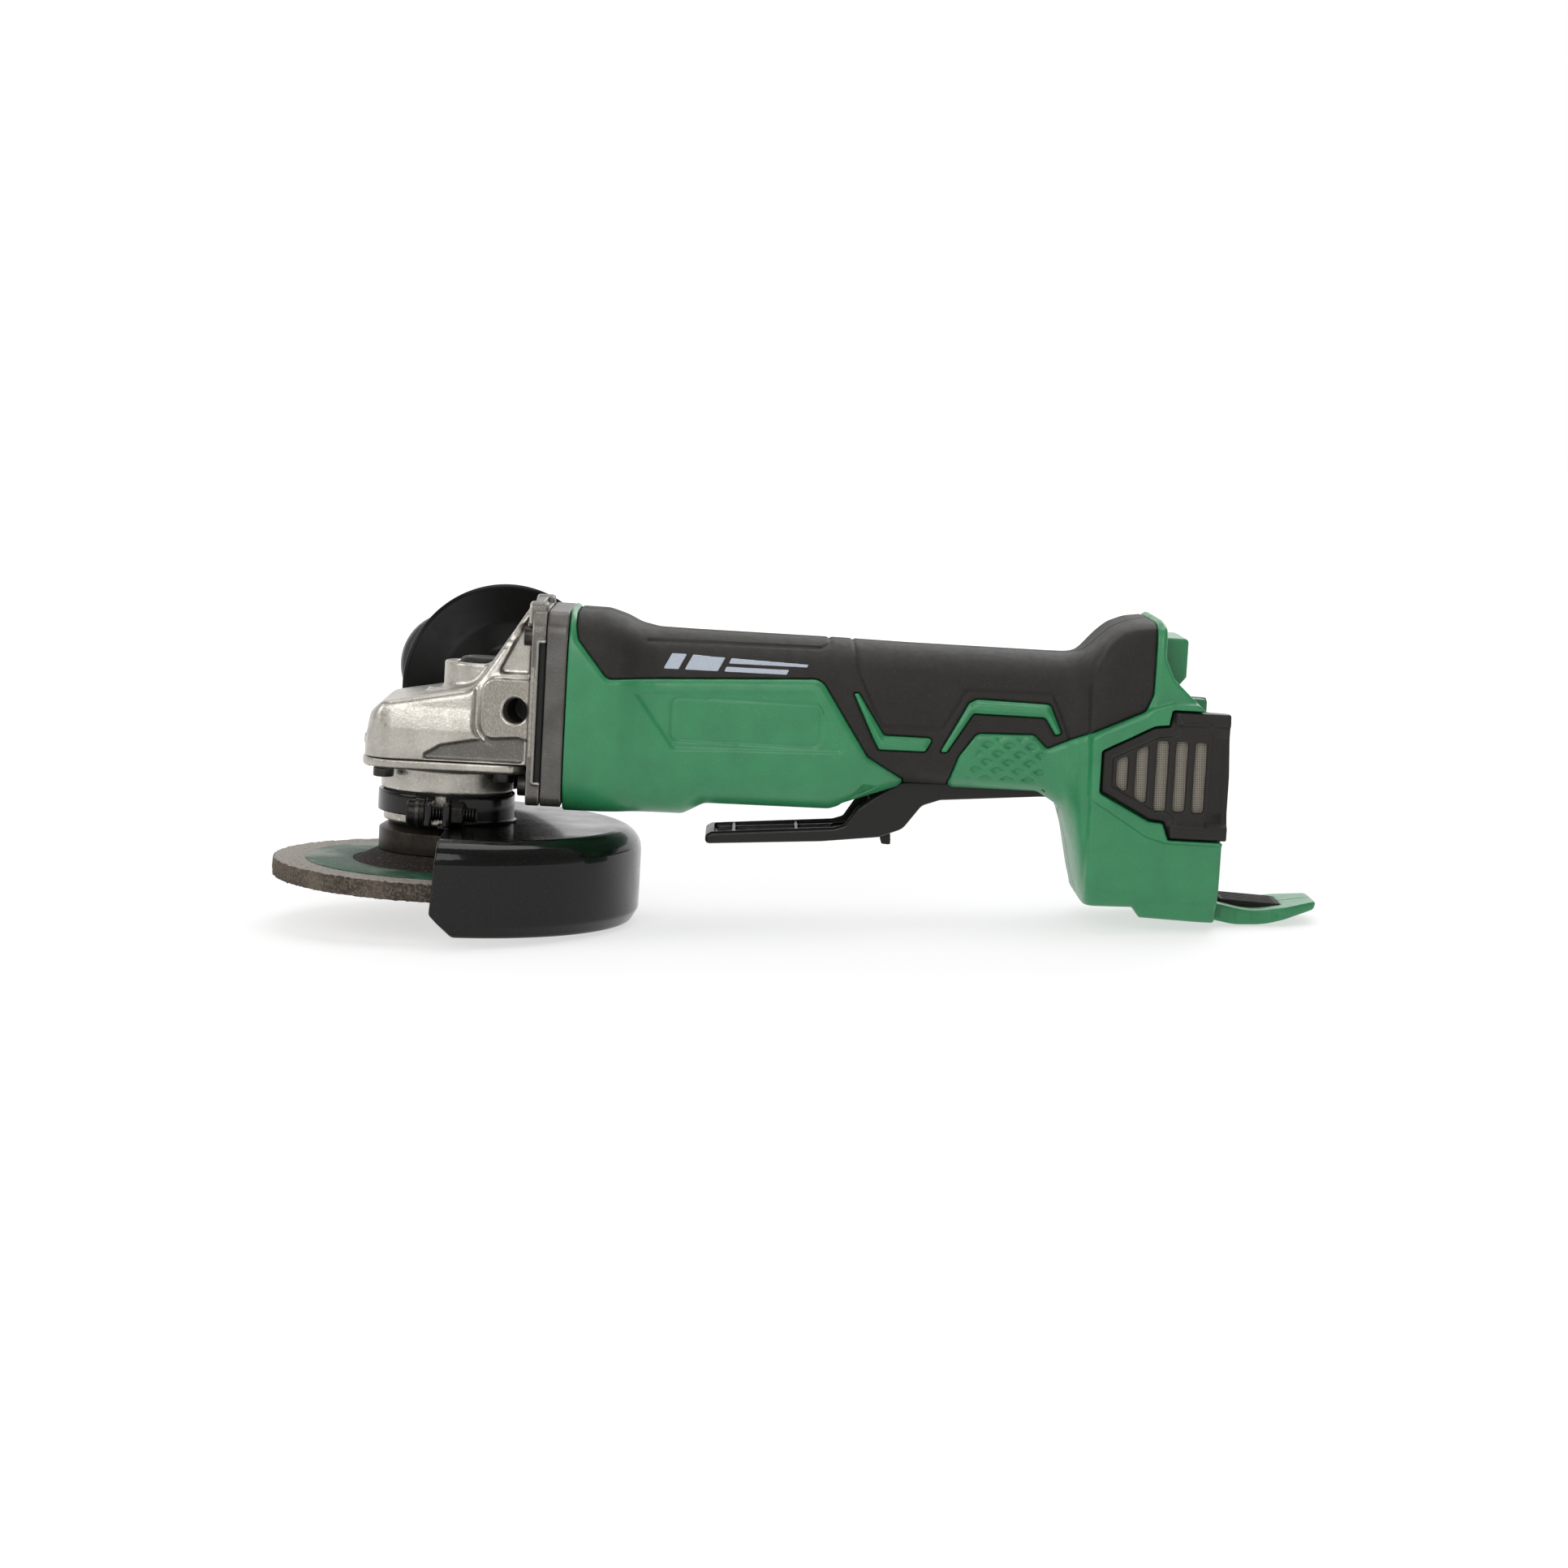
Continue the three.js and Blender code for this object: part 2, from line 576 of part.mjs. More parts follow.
const MOLD_OUTLINE = [
  [42.2, 100], [42.2, 84, 1], [43, 79.8, 2], [53.2, 67.4, 3], [123.8, 70.8, 5], [140.3, 45.9, 2],
  [152.7, 38.5, 1], [152.7, 25], [167.8, 25], [167.8, 38.5], [170.5, 47.5, 6], [176.1, 55.7, 3],
  [195, 56.2, 2], [199.6, 51.8, 1], [230.8, 66.4, 3], [233, 72, 3], [232.6, 100],
];
const STRIP_LOW = [
  [134.6, 67], [136.4, 66.8], [145.2, 53.2], [161.9, 53.1], [159.4, 48.6], [144, 48.6], [141.8, 52.6],
];
const STRIP_HIGH = [
  [164.2, 48.6], [173, 65.6, 1], [176, 66.8, 1], [199.6, 66.4, 1], [204, 57], [202.2, 56.4], [198.2, 62],
  [174.6, 62], [166.4, 48.6],
];

// The hollow follows the skin up to the battery bay's back wall.
const CAVITY = [...SKIN.filter(([x]) => x < 226), [BAY_X - 3, 1.6, 96.4, 32.8, 6]];

const skin = loft(SKIN);
const cavity = loft(CAVITY, WALL + MOLD_T);

// The layer of an outer body inside the overmould's side outline, without the two raised strips;
// shrink pulls its inner face and its edges back.
function mouldLayer(outer, shrink) {
  const layer = outer.subtract(loft(SKIN, MOLD_T - shrink));
  const region = prismY(outline(grown(MOLD_OUTLINE, -shrink)), -60, 60);
  const strips = [STRIP_LOW, STRIP_HIGH].map((strip) => prismY(outline(grown(strip, shrink), 0.5), -60, 60));
  return cut(layer.intersect(region), strips);
}

// The side walls of the battery bay and the sloping edge between them and the top of the rear.
function bayCuts() {
  const slope = outline([
    [236.4, 120], [236.4, 84, 5], [239.5, 77.5, 5], [251, 66.9, 3], [275, 66.2], [275, 120],
  ]);
  const bay = box(BAY_X, 280, -BAY_HALF, BAY_HALF, 2.6, 120);
  const understep = outline([[200, -20], [200, 1.2], [231.8, 1.6], [233.2, -2.6], [262, -3.2], [262, -20]]);
  return [prismY(slope, -60, 60), bay, prismY(understep, -60, 60)];
}

function baseStep() {
  const side = outline([
    [233, 4], [233, -2.6], [252, -3.2, 2], [REAR_X, -3.2], [REAR_X, 4],
  ]);
  const plan = rectangle(233, REAR_X, -26, 26, 6);
  return prismY(side, -26, 26).intersect(prismZ(plan, -10, 10));
}

function foot() {
  const slopeDown = Math.tan(TILT);
  const low = FOOT_LOW[1];
  const side = outline([
    [246, 2.4], [246, -3], [257, -3.4, 2], [FOOT_LOW[0] - 5, low - 5 * slopeDown, 3],
    [FOOT_LOW[0] + 5, low + 5 * slopeDown, 3], [293.6, 0.4, 2], [294.6, 2.6, 0.8], [293, 3.2, 1],
    [272, -0.2, 12], [258, 2.4],
  ]);
  const plan = outline([
    [240, -17, 0], [284, -17, 6], [295, -10, 6], [295, 10, 6], [284, 17, 6], [240, 17, 0],
  ]);
  return prismY(side, -20, 20).intersect(prismZ(plan, -20, 20));
}

function stopBlock() {
  const side = outline([
    [BAY_X - 5, 90], [247.3, 90, 1.5], [247.3, 77, 1.5], [244, 73.4], [BAY_X - 5, 73.4],
  ]);
  return prismY(side, -16, 16);
}

const LEVER_SLOT = [
  [131, 10], [131, 26], [135, 31], [150, 44], [207, 44], [207, 28], [190, 10],
];

function coverPocket(side) {
  const [y0, y1] = side < 0 ? [-60, -30] : [30, 60];
  return prismY(outline(coverOutline(GAP), 0.8), y0, y1);
}

function coverOutline(grow = 0) {
  return [
    [217.2 - grow, 39], [217.2 - grow, 52.8], [234, 61.6 + grow], [238.8 - grow, 62.2 + grow],
    [239.6 - grow, 67.2 + grow], [REAR_X + 4, 67.2 + grow], [REAR_X + 4, 25.2 - grow],
    [240.6 - grow, 25.2 - grow],
    [238.6 - grow, 30 - grow], [234, 30.4 - grow],
  ];
}

// Air inlets through the bay's side wall, behind the filter cover.
function inletCuts(side) {
  const [y0, y1] = side < 0 ? [-33.5, -24] : [24, 33.5];
  const inlet = outline([[222, 41], [222, 51], [233, 56.5], [238, 56.5], [238, 36], [233, 36]], 1);
  return prismY(inlet, y0, y1);
}

function housingWhole() {
  const recess = mouldLayer(loft(SKIN, -1), 0);
  const ribs = [52.2, 99].map((x) => box(x, x + 2.4, -40, 40, 0, 110));
  const hollow = cut(cavity, ribs);
  const cutters = [
    recess, hollow, rodX(STATOR_R + GAP, 38, 101, 0, AXIS_Z, 20), rodX(9.8, 100, 111, 0, AXIS_Z, 16),
    rodX(FAN_R + 1, 38, 52.5), ...bayCuts(), prismY(outline(LEVER_SLOT), -LEVER_HALF - 1, LEVER_HALF + 1),
    coverPocket(-1), coverPocket(1), inletCuts(-1), inletCuts(1),
  ];
  caseScrewPlaces().forEach(([y, z]) => cutters.push(rodX(2 + GAP, 38, 53, y, z, 8)));
  const shell = cut(skin, cutters);
  const pinBosses = [-1, 1].map((side) => {
    const [y0, y1] = side < 0 ? [-22, -LEVER_HALF - 1] : [LEVER_HALF + 1, 22];
    return rodY(5, ...LEVER_PIVOT, y0, y1, 12);
  });
  const extras = [cut(baseStep(), [box(BAY_X, 280, -BAY_HALF, BAY_HALF, 2.6, 120)]), foot(), stopBlock()];
  const posts = join(housingScrewPlaces().map(([x, z]) => rodY(4.4, x, z, -30, 30, 12)));
  const inside = loft(SKIN, MOLD_T + GAP);
  const whole = join([shell, ...pinBosses, ...extras, posts.intersect(inside)]);
  const bores = housingScrewPlaces().flatMap(([x, z]) => [
    rodY(1.6 + GAP, x, z, -14, 40, 8), rodY(3.2 + GAP, x, z, 20, 40, 12),
  ]);
  return cut(whole, [...bores, rodY(2 + GAP, ...LEVER_PIVOT, -19.5, 19.5, 12), footPadRecess()]);
}

function housingScrewPlaces() {
  return [[108, 75], [146, 74], [108, 34], [226, 13]];
}

const NEAR = () => box(-100, 400, -100, -GAP / 2, -100, 200);
const FAR = () => box(-100, 400, GAP / 2, 100, -100, 200);

function overmould() {
  const screwWells = housingScrewPlaces().map(([x, z]) => rodY(3.8, x, z, 10, 40, 12));
  const leverRoom = prismY(outline(LEVER_SLOT), -LEVER_HALF - 1, LEVER_HALF + 1);
  return cut(mouldLayer(skin, GAP), [...screwWells, leverRoom]);
}

function housingScrew([x, z]) {
  const head = rodY(3.2, x, z, 20 + GAP, 23, 12);
  const socket = rodY(1.4, x, z, 21.5, 25, 6);
  return cut(join([head, rodY(1.6, x, z, -13, 21, 8)]), [socket]);
}

const footPadRecess = () => box(262, 283, -10, 10, -0.5, 8);
const footPad = () => {
  const side = outline([[262.3, 0], [282.7, 0], [282.7, 2.9], [262.3, 3.4]], 0.6);
  return prismY(side, -9.7, 9.7);
};

// ---------- paddle, lock-off and switch ----------
const LEVER_SIDE = [
  [88, 12.4, 1], [88, 15.6, 1], [90, 16.6, 1], [131, 20.2, 2], [134.5, 21.4, 2], [138, 27, 2], [143, 31, 2],
  [152, 37, 2], [156, 37.6], [199, 38.6], [205.5, 39, 3], [204.5, 34.6, 2], [166, 31.2, 3], [160, 29, 3],
  [154, 20.8, 3], [146, 17.6, 2], [127, 15.2, 2],
];

function paddleLever() {
  const body = prismY(outline(LEVER_SIDE), -LEVER_HALF, LEVER_HALF);
  const trough = outline([
    [91, 15.2], [91, 30], [120, 45], [197, 45], [197, 41], [194, 35.6], [166, 33.6], [158.5, 31.2],
    [152.5, 23.6], [145.5, 20.2], [127, 17.5],
  ], 1);
  const knuckle = rodY(4.4, ...LEVER_PIVOT, -LEVER_HALF, LEVER_HALF, 24);
  const pusher = box(160, 167, -4, 4, 31.8, 38.4);
  const lockEars = [-1, 1].map((side) => {
    const [y0, y1] = side < 0 ? [-12.6, -4] : [4, 12.6];
    return rodY(3.1, ...LOCK_OFF_PIVOT, y0, y1, 12);
  });
  const hollow = cut(body, [prismY(trough, -LEVER_HALF + 2.2, LEVER_HALF - 2.2)]);
  const whole = join([hollow, knuckle, pusher, ...lockEars]);
  return cut(whole, [
    rodY(2 + RUN, ...LEVER_PIVOT, -20, 20, 16),
    rodY(1.5 + RUN, ...LOCK_OFF_PIVOT, -20, 20, 12),
    box(141.5, 152.5, -3.6, 3.6, 12, 23),
    box(195.2, 207, -6.2, 6.2, 33.1, 46),
  ]);
}

const leverPin = () => rodY(2, ...LEVER_PIVOT, -19, 19, 16);

function leverSpring() {
  const coil = wire(helix(3.2, -5, 5, 4), 0.7, 32, 2);
  return coil.rotate([90, 0, 0]).translate([LEVER_PIVOT[0], 0, LEVER_PIVOT[1]]);
}

function lockOffLever() {
  const side = outline([
    [147.6, 14.2, 0.4], [150.8, 14, 0.6], [150.6, 16.6], [149.6, 24], [148, 29, 1.5],
    [143.5, 33, 1], [141.5, 31.5, 1],
    [143, 28, 2], [142.4, 23.4, 2], [145.5, 21, 2],
  ]);
  return cut(prismY(side, -3, 3), [rodY(1.5 + RUN, ...LOCK_OFF_PIVOT, -5, 5, 12)]);
}

const lockOffPin = () => rodY(1.5, ...LOCK_OFF_PIVOT, -11.5, 11.5, 12);

function switchBody() {
  const body = box(151, 176, -10, 10, 48, 68);
  return cut(body, [box(159.7, 167.3, -4.3, 4.3, 47, 54)]);
}

const switchPlunger = () => box(160, 167, -4, 4, 38.7, 50);
const controller = () => join([box(182, 226, -18, 18, 50, 62), box(186, 222, -15, 15, 62, 66)]);

// ---------- battery interface ----------
const BLADES_Y = [-13, -4.5, 4.5, 13];

function batteryPlate() {
  const plate = prismX(rectangle(-25.5, 25.5, 8, 70, 2), BAY_X + GAP, BAY_X + 3);
  const rails = [-1, 1].flatMap((side) => {
    const [w0, w1] = side < 0 ? [-23, -20.6] : [20.6, 23];
    const [l0, l1] = side < 0 ? [-23, -17.5] : [17.5, 23];
    return [box(BAY_X + 2, BAY_X + 11.5, w0, w1, 12, 66), box(BAY_X + 9, BAY_X + 11.5, l0, l1, 12, 66)];
  });
  const block = box(BAY_X + 2, BAY_X + 6, -16, 16, 30, 48);
  const slots = BLADES_Y.map((y) => box(BAY_X - 1, BAY_X + 9, y - 0.7, y + 0.7, 32.7, 45.3));
  return cut(join([plate, ...rails, block]), slots);
}

const terminalBlade = (y) => box(BAY_X + 0.5, BAY_X + 12, y - 0.4, y + 0.4, 33, 45);

// ---------- filter covers ----------
function mirroredY(body, side) {
  return side < 0 ? body : body.mirror([0, 1, 0]);
}

const SLOTS = [
  [[221.7, 43], [221.7, 50], [226.7, 52.6], [226.7, 40.2]],
  [[228, 39.6], [228, 53.6], [233.2, 56.6], [233.2, 36.8]],
  ...[234.6, 240.9, 247.2].map((x) => [[x, 34.8], [x, 57.4], [x + 5.2, 57.4], [x + 5.2, 34.8]]),
];

function filterCover(side) {
  const face = prismY(outline(coverOutline(), 1), -34.6, -30.4);
  const rear = box(REAR_X + 1.1, REAR_X + 5, -40, -20, 20, 80);
  const openings = SLOTS.map((slot) => prismY(outline(slot, 0.6), -40, -20));
  const seat = outline([[219.6, 40.6], [219.6, 51.6], [234, 59], [254.5, 59], [254.5, 33], [234, 33]]);
  const meshSeat = prismY(seat, -32.2, -20);
  return mirroredY(cut(face, [rear, ...openings, meshSeat]), side);
}

function filterMesh(side) {
  const sheet = outline([[220, 41], [220, 51.3], [234.2, 58.6], [254.2, 58.6], [254.2, 33.4], [234.2, 33.4]]);
  return mirroredY(prismY(sheet, -31.9, -31.1), side);
}

// ---------- side handle ----------
// Profiles run along the handle's own axis, measured from the milled face of the gear case.
function handleGrip() {
  const profile = [
    [0, 60], [4.4, 60], [4.4, GAP], [11.5, GAP], [12.5, 12], [15.5, 22], [24, 28], [33.6, 31.4], [34.7, 32.6],
    [34.2, 34.4], [25, 35], [19.5, 38], [16, 48], [17, 96], [16.4, 112], [18.1, 123], [17, 129],
    [12, 132.4], [0, 133],
  ];
  return leaned(turned(profile, { segments: 22 }), 1);
}

function handleStud() {
  return leaned(rod(4, -11.5, 59, { segments: 16 }), 1);
}

// ---------- assembly ----------
const tool = new THREE.Group();
tool.rotation.y = TILT;

function add(name, body, material) {
  const mesh = new THREE.Mesh(geometryOf(body), material);
  mesh.name = name;
  tool.add(mesh);
}

add('grinding_wheel', grindingWheel(), GRIT);
add('inner_flange', innerFlange(), BLACK_STEEL);
add('wheel_nut', wheelNut(), BLACK_STEEL);
add('spindle', spindle(), STEEL);
add('spindle_bearing', spindleBearing(), STEEL);
add('spindle_bush', spindleBush(), BRASS);
add('ring_gear', ringGear(), STEEL);
add('pinion', pinion(), STEEL);
add('guard', guard(), GUARD_BLACK);
add('guard_clamp_screw', clampScrew(), BLACK_STEEL);
add('guard_clamp_nut', clampNut(), BLACK_STEEL);
add('gear_case', gearCase(), CAST);
add('bearing_holder', bearingHolder(), CAST);
holderScrewPlaces().forEach((place, i) => add(`holder_screw_${i + 1}`, holderScrew(place), BLACK_STEEL));
caseScrewPlaces().forEach((place, i) => add(`case_screw_${i + 1}`, caseScrew(place), BLACK_STEEL));
add('lock_button', lockButton(), BLACK_PLASTIC);
add('lock_pin', lockPin(), STEEL);
add('lock_spring', lockSpring(), STEEL);
add('motor_plate', motorPlate(), DARK_CAST);
add('stator', stator(), COPPER);
add('rotor_shaft', rotorShaft(), STEEL);
add('rotor_core', rotorCore(), STEEL);
add('front_bearing', frontBearing(), STEEL);
add('rear_bearing', rearBearing(), STEEL);
add('cooling_fan', coolingFan(), BLACK_PLASTIC);

const housing = housingWhole();
const mould = overmould();
add('housing_left', housing.intersect(NEAR()), GREEN);
add('housing_right', housing.intersect(FAR()), GREEN);
add('grip_overmould_left', mould.intersect(NEAR()), ELASTOMER);
add('grip_overmould_right', mould.intersect(FAR()), ELASTOMER);
housingScrewPlaces().forEach((place, i) => add(`housing_screw_${i + 1}`, housingScrew(place), BLACK_STEEL));
add('foot_pad', footPad(), ELASTOMER);

add('paddle_lever', paddleLever(), BLACK_PLASTIC);
add('lever_pin', leverPin(), STEEL);
add('lever_spring', leverSpring(), STEEL);
add('lock_off_lever', lockOffLever(), BLACK_PLASTIC);
add('lock_off_pin', lockOffPin(), STEEL);
add('switch_body', switchBody(), BLACK_PLASTIC);
add('switch_plunger', switchPlunger(), BLACK_PLASTIC);
add('controller', controller(), BLACK_PLASTIC);

add('battery_plate', batteryPlate(), BLACK_PLASTIC);
BLADES_Y.forEach((y, i) => add(`terminal_blade_${i + 1}`, terminalBlade(y), BRASS));
add('filter_cover_left', filterCover(-1), BLACK_PLASTIC);
add('filter_cover_right', filterCover(1), BLACK_PLASTIC);
add('filter_mesh_left', filterMesh(-1), MESH_GREY);
add('filter_mesh_right', filterMesh(1), MESH_GREY);
add('side_handle_grip', handleGrip(), BLACK_PLASTIC);
add('side_handle_stud', handleStud(), STEEL);

// The object's origin is the centre of its footprint, on the surface that it stands on.
const stand = new THREE.Group();
stand.add(tool);
stand.updateMatrixWorld(true);
const extent = new THREE.Box3().setFromObject(stand, true);
tool.position.set(-(extent.min.x + extent.max.x) / 2, -(extent.min.y + extent.max.y) / 2, -extent.min.z);

export default stand;
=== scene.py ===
"""Angle grinder: detailed shells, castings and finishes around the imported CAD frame.

Shapes are worked out in millimetres in the tool's own frame: the origin is on the spindle axis at the
wheel's upper face, X runs rearwards along the motor, Z up the spindle, and -Y is the operator's left.
"""

import json
import math

import bpy
import numpy as np
import openvdb
from mathutils import Matrix, Vector


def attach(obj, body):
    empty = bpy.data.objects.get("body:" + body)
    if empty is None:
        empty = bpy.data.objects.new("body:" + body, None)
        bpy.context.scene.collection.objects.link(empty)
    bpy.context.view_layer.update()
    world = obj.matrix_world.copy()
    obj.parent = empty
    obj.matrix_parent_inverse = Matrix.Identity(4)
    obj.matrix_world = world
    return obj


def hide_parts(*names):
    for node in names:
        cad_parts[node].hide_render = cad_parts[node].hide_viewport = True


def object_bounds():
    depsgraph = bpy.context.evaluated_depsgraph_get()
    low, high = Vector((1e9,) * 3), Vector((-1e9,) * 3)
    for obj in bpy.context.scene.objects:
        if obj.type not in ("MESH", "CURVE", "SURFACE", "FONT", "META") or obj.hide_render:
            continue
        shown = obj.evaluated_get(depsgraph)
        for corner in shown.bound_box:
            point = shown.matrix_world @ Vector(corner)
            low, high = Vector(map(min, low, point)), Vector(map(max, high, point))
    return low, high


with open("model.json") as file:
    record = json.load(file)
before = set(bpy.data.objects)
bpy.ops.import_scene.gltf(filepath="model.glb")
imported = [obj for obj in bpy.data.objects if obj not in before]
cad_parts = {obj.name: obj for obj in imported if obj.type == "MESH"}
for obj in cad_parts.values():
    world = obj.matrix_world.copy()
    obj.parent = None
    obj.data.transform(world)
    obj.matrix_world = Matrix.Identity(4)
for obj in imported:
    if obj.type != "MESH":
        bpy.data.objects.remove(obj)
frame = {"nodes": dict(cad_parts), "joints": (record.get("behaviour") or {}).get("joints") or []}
CAD_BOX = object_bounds()
NODES = frame["nodes"]

SPIN = next(j for j in frame["joints"] if j["name"] == "spindle_spin")
SPINDLE_UP = Vector(SPIN["axis"]).normalized()
TILT = math.atan2(SPINDLE_UP.x, SPINDLE_UP.z)
TOOL = Matrix.Translation(SPIN["pos_m"]) @ Matrix.Rotation(TILT, 4, "Y") @ Matrix.Scale(0.001, 4)

# ---------- main sizes, in millimetres ----------
AXIS_Z = 54.5          # motor axis above the wheel's upper face
WHEEL_R = 57.5
GUARD_R = 66.5
GUARD_TOP = 15.2
GUARD_LOW = -16.3
SHEET = 1.8            # guard sheet
COLLAR_R = 23
COLLAR_TOP = 24.6
CLAMP = (-28, 19.6)    # y and z of the guard's clamp screw
PLATE_LOW = 33.3       # underside of the bearing holder's plate
CASE_LOW = 36.8
CASE_HALF = 27         # half the gear case's width
NOSE_X = -27.6
FLANGE_X = 28.5
SEAM_X = 32.5          # visible joint of flange and motor plate
PLATE_X = 34.5
HOUSING_X = 40         # front end of the housing
REAR_X = 258.6
BAY_X = 240            # front wall of the battery bay
BAY_HALF = 26.5
BAY_FLOOR = 2.6
LOCK_X = 10            # spindle lock, behind the spindle
LEVER_HALF = 14
LEVER_PIVOT = (201, 39)
LOCK_OFF_PIVOT = (146, 25)
PIN_HOLE_R = 2.3       # for the paddle's pin
TAB_HOLE_R = 1.8       # for the lock-off lever's pin
HANDLE = (23.1, 28, 55)    # mouth of the right hand handle hole; the left one is its mirror image
HANDLE_LEAN = math.radians(16)
THREAD_R = 4.05        # M8, at the crest of the thread
THREAD_PITCH = 1.25
SCREW_HOLE_R = 2.4
HOLDER_SCREWS = [(-20, -18.5), (20, -18.5), (-20, 18.5), (20, 18.5)]
CASE_SCREWS = [(y, AXIS_Z + dz) for y in (-23.2, 23.2) for dz in (25.2, -24.7)]
HOUSING_SCREWS = [(108, 75), (146, 74), (108, 34), (226, 13)]


# ---------- distance fields ----------
class Block:
    """Sample points in a box: x, y and z broadcast against each other."""

    def __init__(self, low, high, step):
        self.low = np.array(low, dtype=float)
        self.step = step
        counts = [int(math.ceil((b - a) / step)) + 1 for a, b in zip(low, high)]
        axes = [a + step * np.arange(n, dtype=np.float32) for a, n in zip(low, counts)]
        self.x = axes[0][:, None, None]
        self.y = axes[1][None, :, None]
        self.z = axes[2][None, None, :]
        self.shape = tuple(counts)

    def side(self, corners, radius=0.0):
        """Distance to an outline drawn in the side view, from its (x, z) corners."""
        return polygon(outline(corners, radius), self.x, self.z)

    def plan(self, corners, radius=0.0):
        return polygon(outline(corners, radius), self.x, self.y)

    def turned(self, corners, radius=0.0):
        """A solid turned round the spindle axis, from its (radius, z) corners."""
        return polygon(outline(corners, radius), np.hypot(self.x, self.y), self.z)


def outline(corners, radius=0.0):
    """Polygon corners as (a, b) or (a, b, r), with each corner rounded by an arc."""
    points = []
    count = len(corners)
    for i, corner in enumerate(corners):
        r = corner[2] if len(corner) > 2 else radius
        here = np.array(corner[:2], dtype=float)
        back = np.array(corners[i - 1][:2], dtype=float) - here
        ahead = np.array(corners[(i + 1) % count][:2], dtype=float) - here
        lengths = (np.hypot(*back), np.hypot(*ahead))
        back, ahead = back / lengths[0], ahead / lengths[1]
        half = math.acos(float(np.clip(back @ ahead, -1, 1))) / 2
        if r <= 0 or half > 1.55:
            points.append(here)
            continue
        reach = min(r / math.tan(half), 0.49 * lengths[0], 0.49 * lengths[1])
        r = reach * math.tan(half)
        middle = back + ahead
        centre = here + middle / np.hypot(*middle) * r / math.sin(half)
        first = here + back * reach - centre
        a0 = math.atan2(first[1], first[0])
        last = here + ahead * reach - centre
        turn = (math.atan2(last[1], last[0]) - a0 + math.pi) % (2 * math.pi) - math.pi
        for k in range(7):
            a = a0 + turn * k / 6
            points.append(centre + r * np.array([math.cos(a), math.sin(a)]))
    return points


def polygon(points, a, b):
    """Signed distance to a closed polygon in the plane of arrays a and b, negative inside."""
    nearest = np.full(np.broadcast_shapes(a.shape, b.shape), 1e9, dtype=np.float32)
    inside = np.zeros(nearest.shape, dtype=bool)
    for i, q in enumerate(points):
        p = points[i - 1]
        e = q - p
        u, v = a - p[0], b - p[1]
        t = np.clip((u * e[0] + v * e[1]) / max(float(e @ e), 1e-12), 0, 1)
        nearest = np.minimum(nearest, (u - e[0] * t) ** 2 + (v - e[1] * t) ** 2)
        crosses = (p[1] > b) != (q[1] > b)
        rise = e[1] if abs(e[1]) > 1e-9 else 1e-9
        inside ^= crosses & (a < p[0] + (b - p[1]) * e[0] / rise)
    return np.where(inside, -1, 1) * np.sqrt(nearest)


def line(points, a, b):
    """Distance to an open polyline in the plane of arrays a and b."""
    nearest = np.full(np.broadcast_shapes(a.shape, b.shape), 1e9, dtype=np.float32)
    for p, q in zip(points[:-1], points[1:]):
        p, e = np.array(p, dtype=float), np.array(q, dtype=float) - np.array(p, dtype=float)
        u, v = a - p[0], b - p[1]
        t = np.clip((u * e[0] + v * e[1]) / float(e @ e), 0, 1)
        nearest = np.minimum(nearest, (u - e[0] * t) ** 2 + (v - e[1] * t) ** 2)
    return np.sqrt(nearest)


def both(a, b, r=0.0):
    """Intersection, with its edge rounded to r."""
    if r <= 0:
        return np.maximum(a, b)
    corner = np.sqrt(np.maximum(a + r, 0) ** 2 + np.maximum(b + r, 0) ** 2)
    return np.minimum(np.maximum(a, b), -r) + corner


def either(a, b, r=0.0):
    """Union, with its inner corner filled to r."""
    if r <= 0:
        return np.minimum(a, b)
    corner = np.sqrt(np.maximum(r - a, 0) ** 2 + np.maximum(r - b, 0) ** 2)
    return np.maximum(np.minimum(a, b), r) - corner


def minus(a, b, r=0.0):
    return both(a, -b, r)


def slab(u, low, high):
    return np.abs(u - (low + high) / 2) - (high - low) / 2


def box(block, x0, x1, y0, y1, z0, z1, r=0.0):
    return both(both(slab(block.x, x0, x1), slab(block.y, y0, y1), r), slab(block.z, z0, z1), r)


def prism_y(corners, block, y0, y1, r=0.0, radius=0.0):
    """A side-view outline carried from y0 to y1."""
    return both(block.side(corners, radius), slab(block.y, y0, y1), r)


def rod_x(block, radius, x0, x1, y=0.0, z=AXIS_Z, r=0.0):
    return both(np.hypot(block.y - y, block.z - z) - radius, slab(block.x, x0, x1), r)


def rod_y(block, radius, x, z, y0, y1, r=0.0):
    return both(np.hypot(block.x - x, block.z - z) - radius, slab(block.y, y0, y1), r)


def rod_z(block, radius, z0, z1, x=0.0, y=0.0, r=0.0):
    return both(np.hypot(block.x - x, block.y - y) - radius, slab(block.z, z0, z1), r)


def ramp(distance, width):
    """0 outside, rising to 1 at width inside."""
    s = np.clip(-distance / width, 0, 1)
    return s * s * (3 - 2 * s)


def band(value, low, high):
    """0 at low, rising straight to 1 at high."""
    return np.clip((value - low) / (high - low), 0, 1)


# ---------- meshes ----------
def new_object(name, mesh):
    obj = bpy.data.objects.new(name, mesh)
    bpy.context.scene.collection.objects.link(obj)
    return obj


def plain_object(name, verts, faces):
    mesh = bpy.data.meshes.new(name)
    mesh.from_pydata(verts, [], faces)
    mesh.update()
    return new_object(name, mesh)


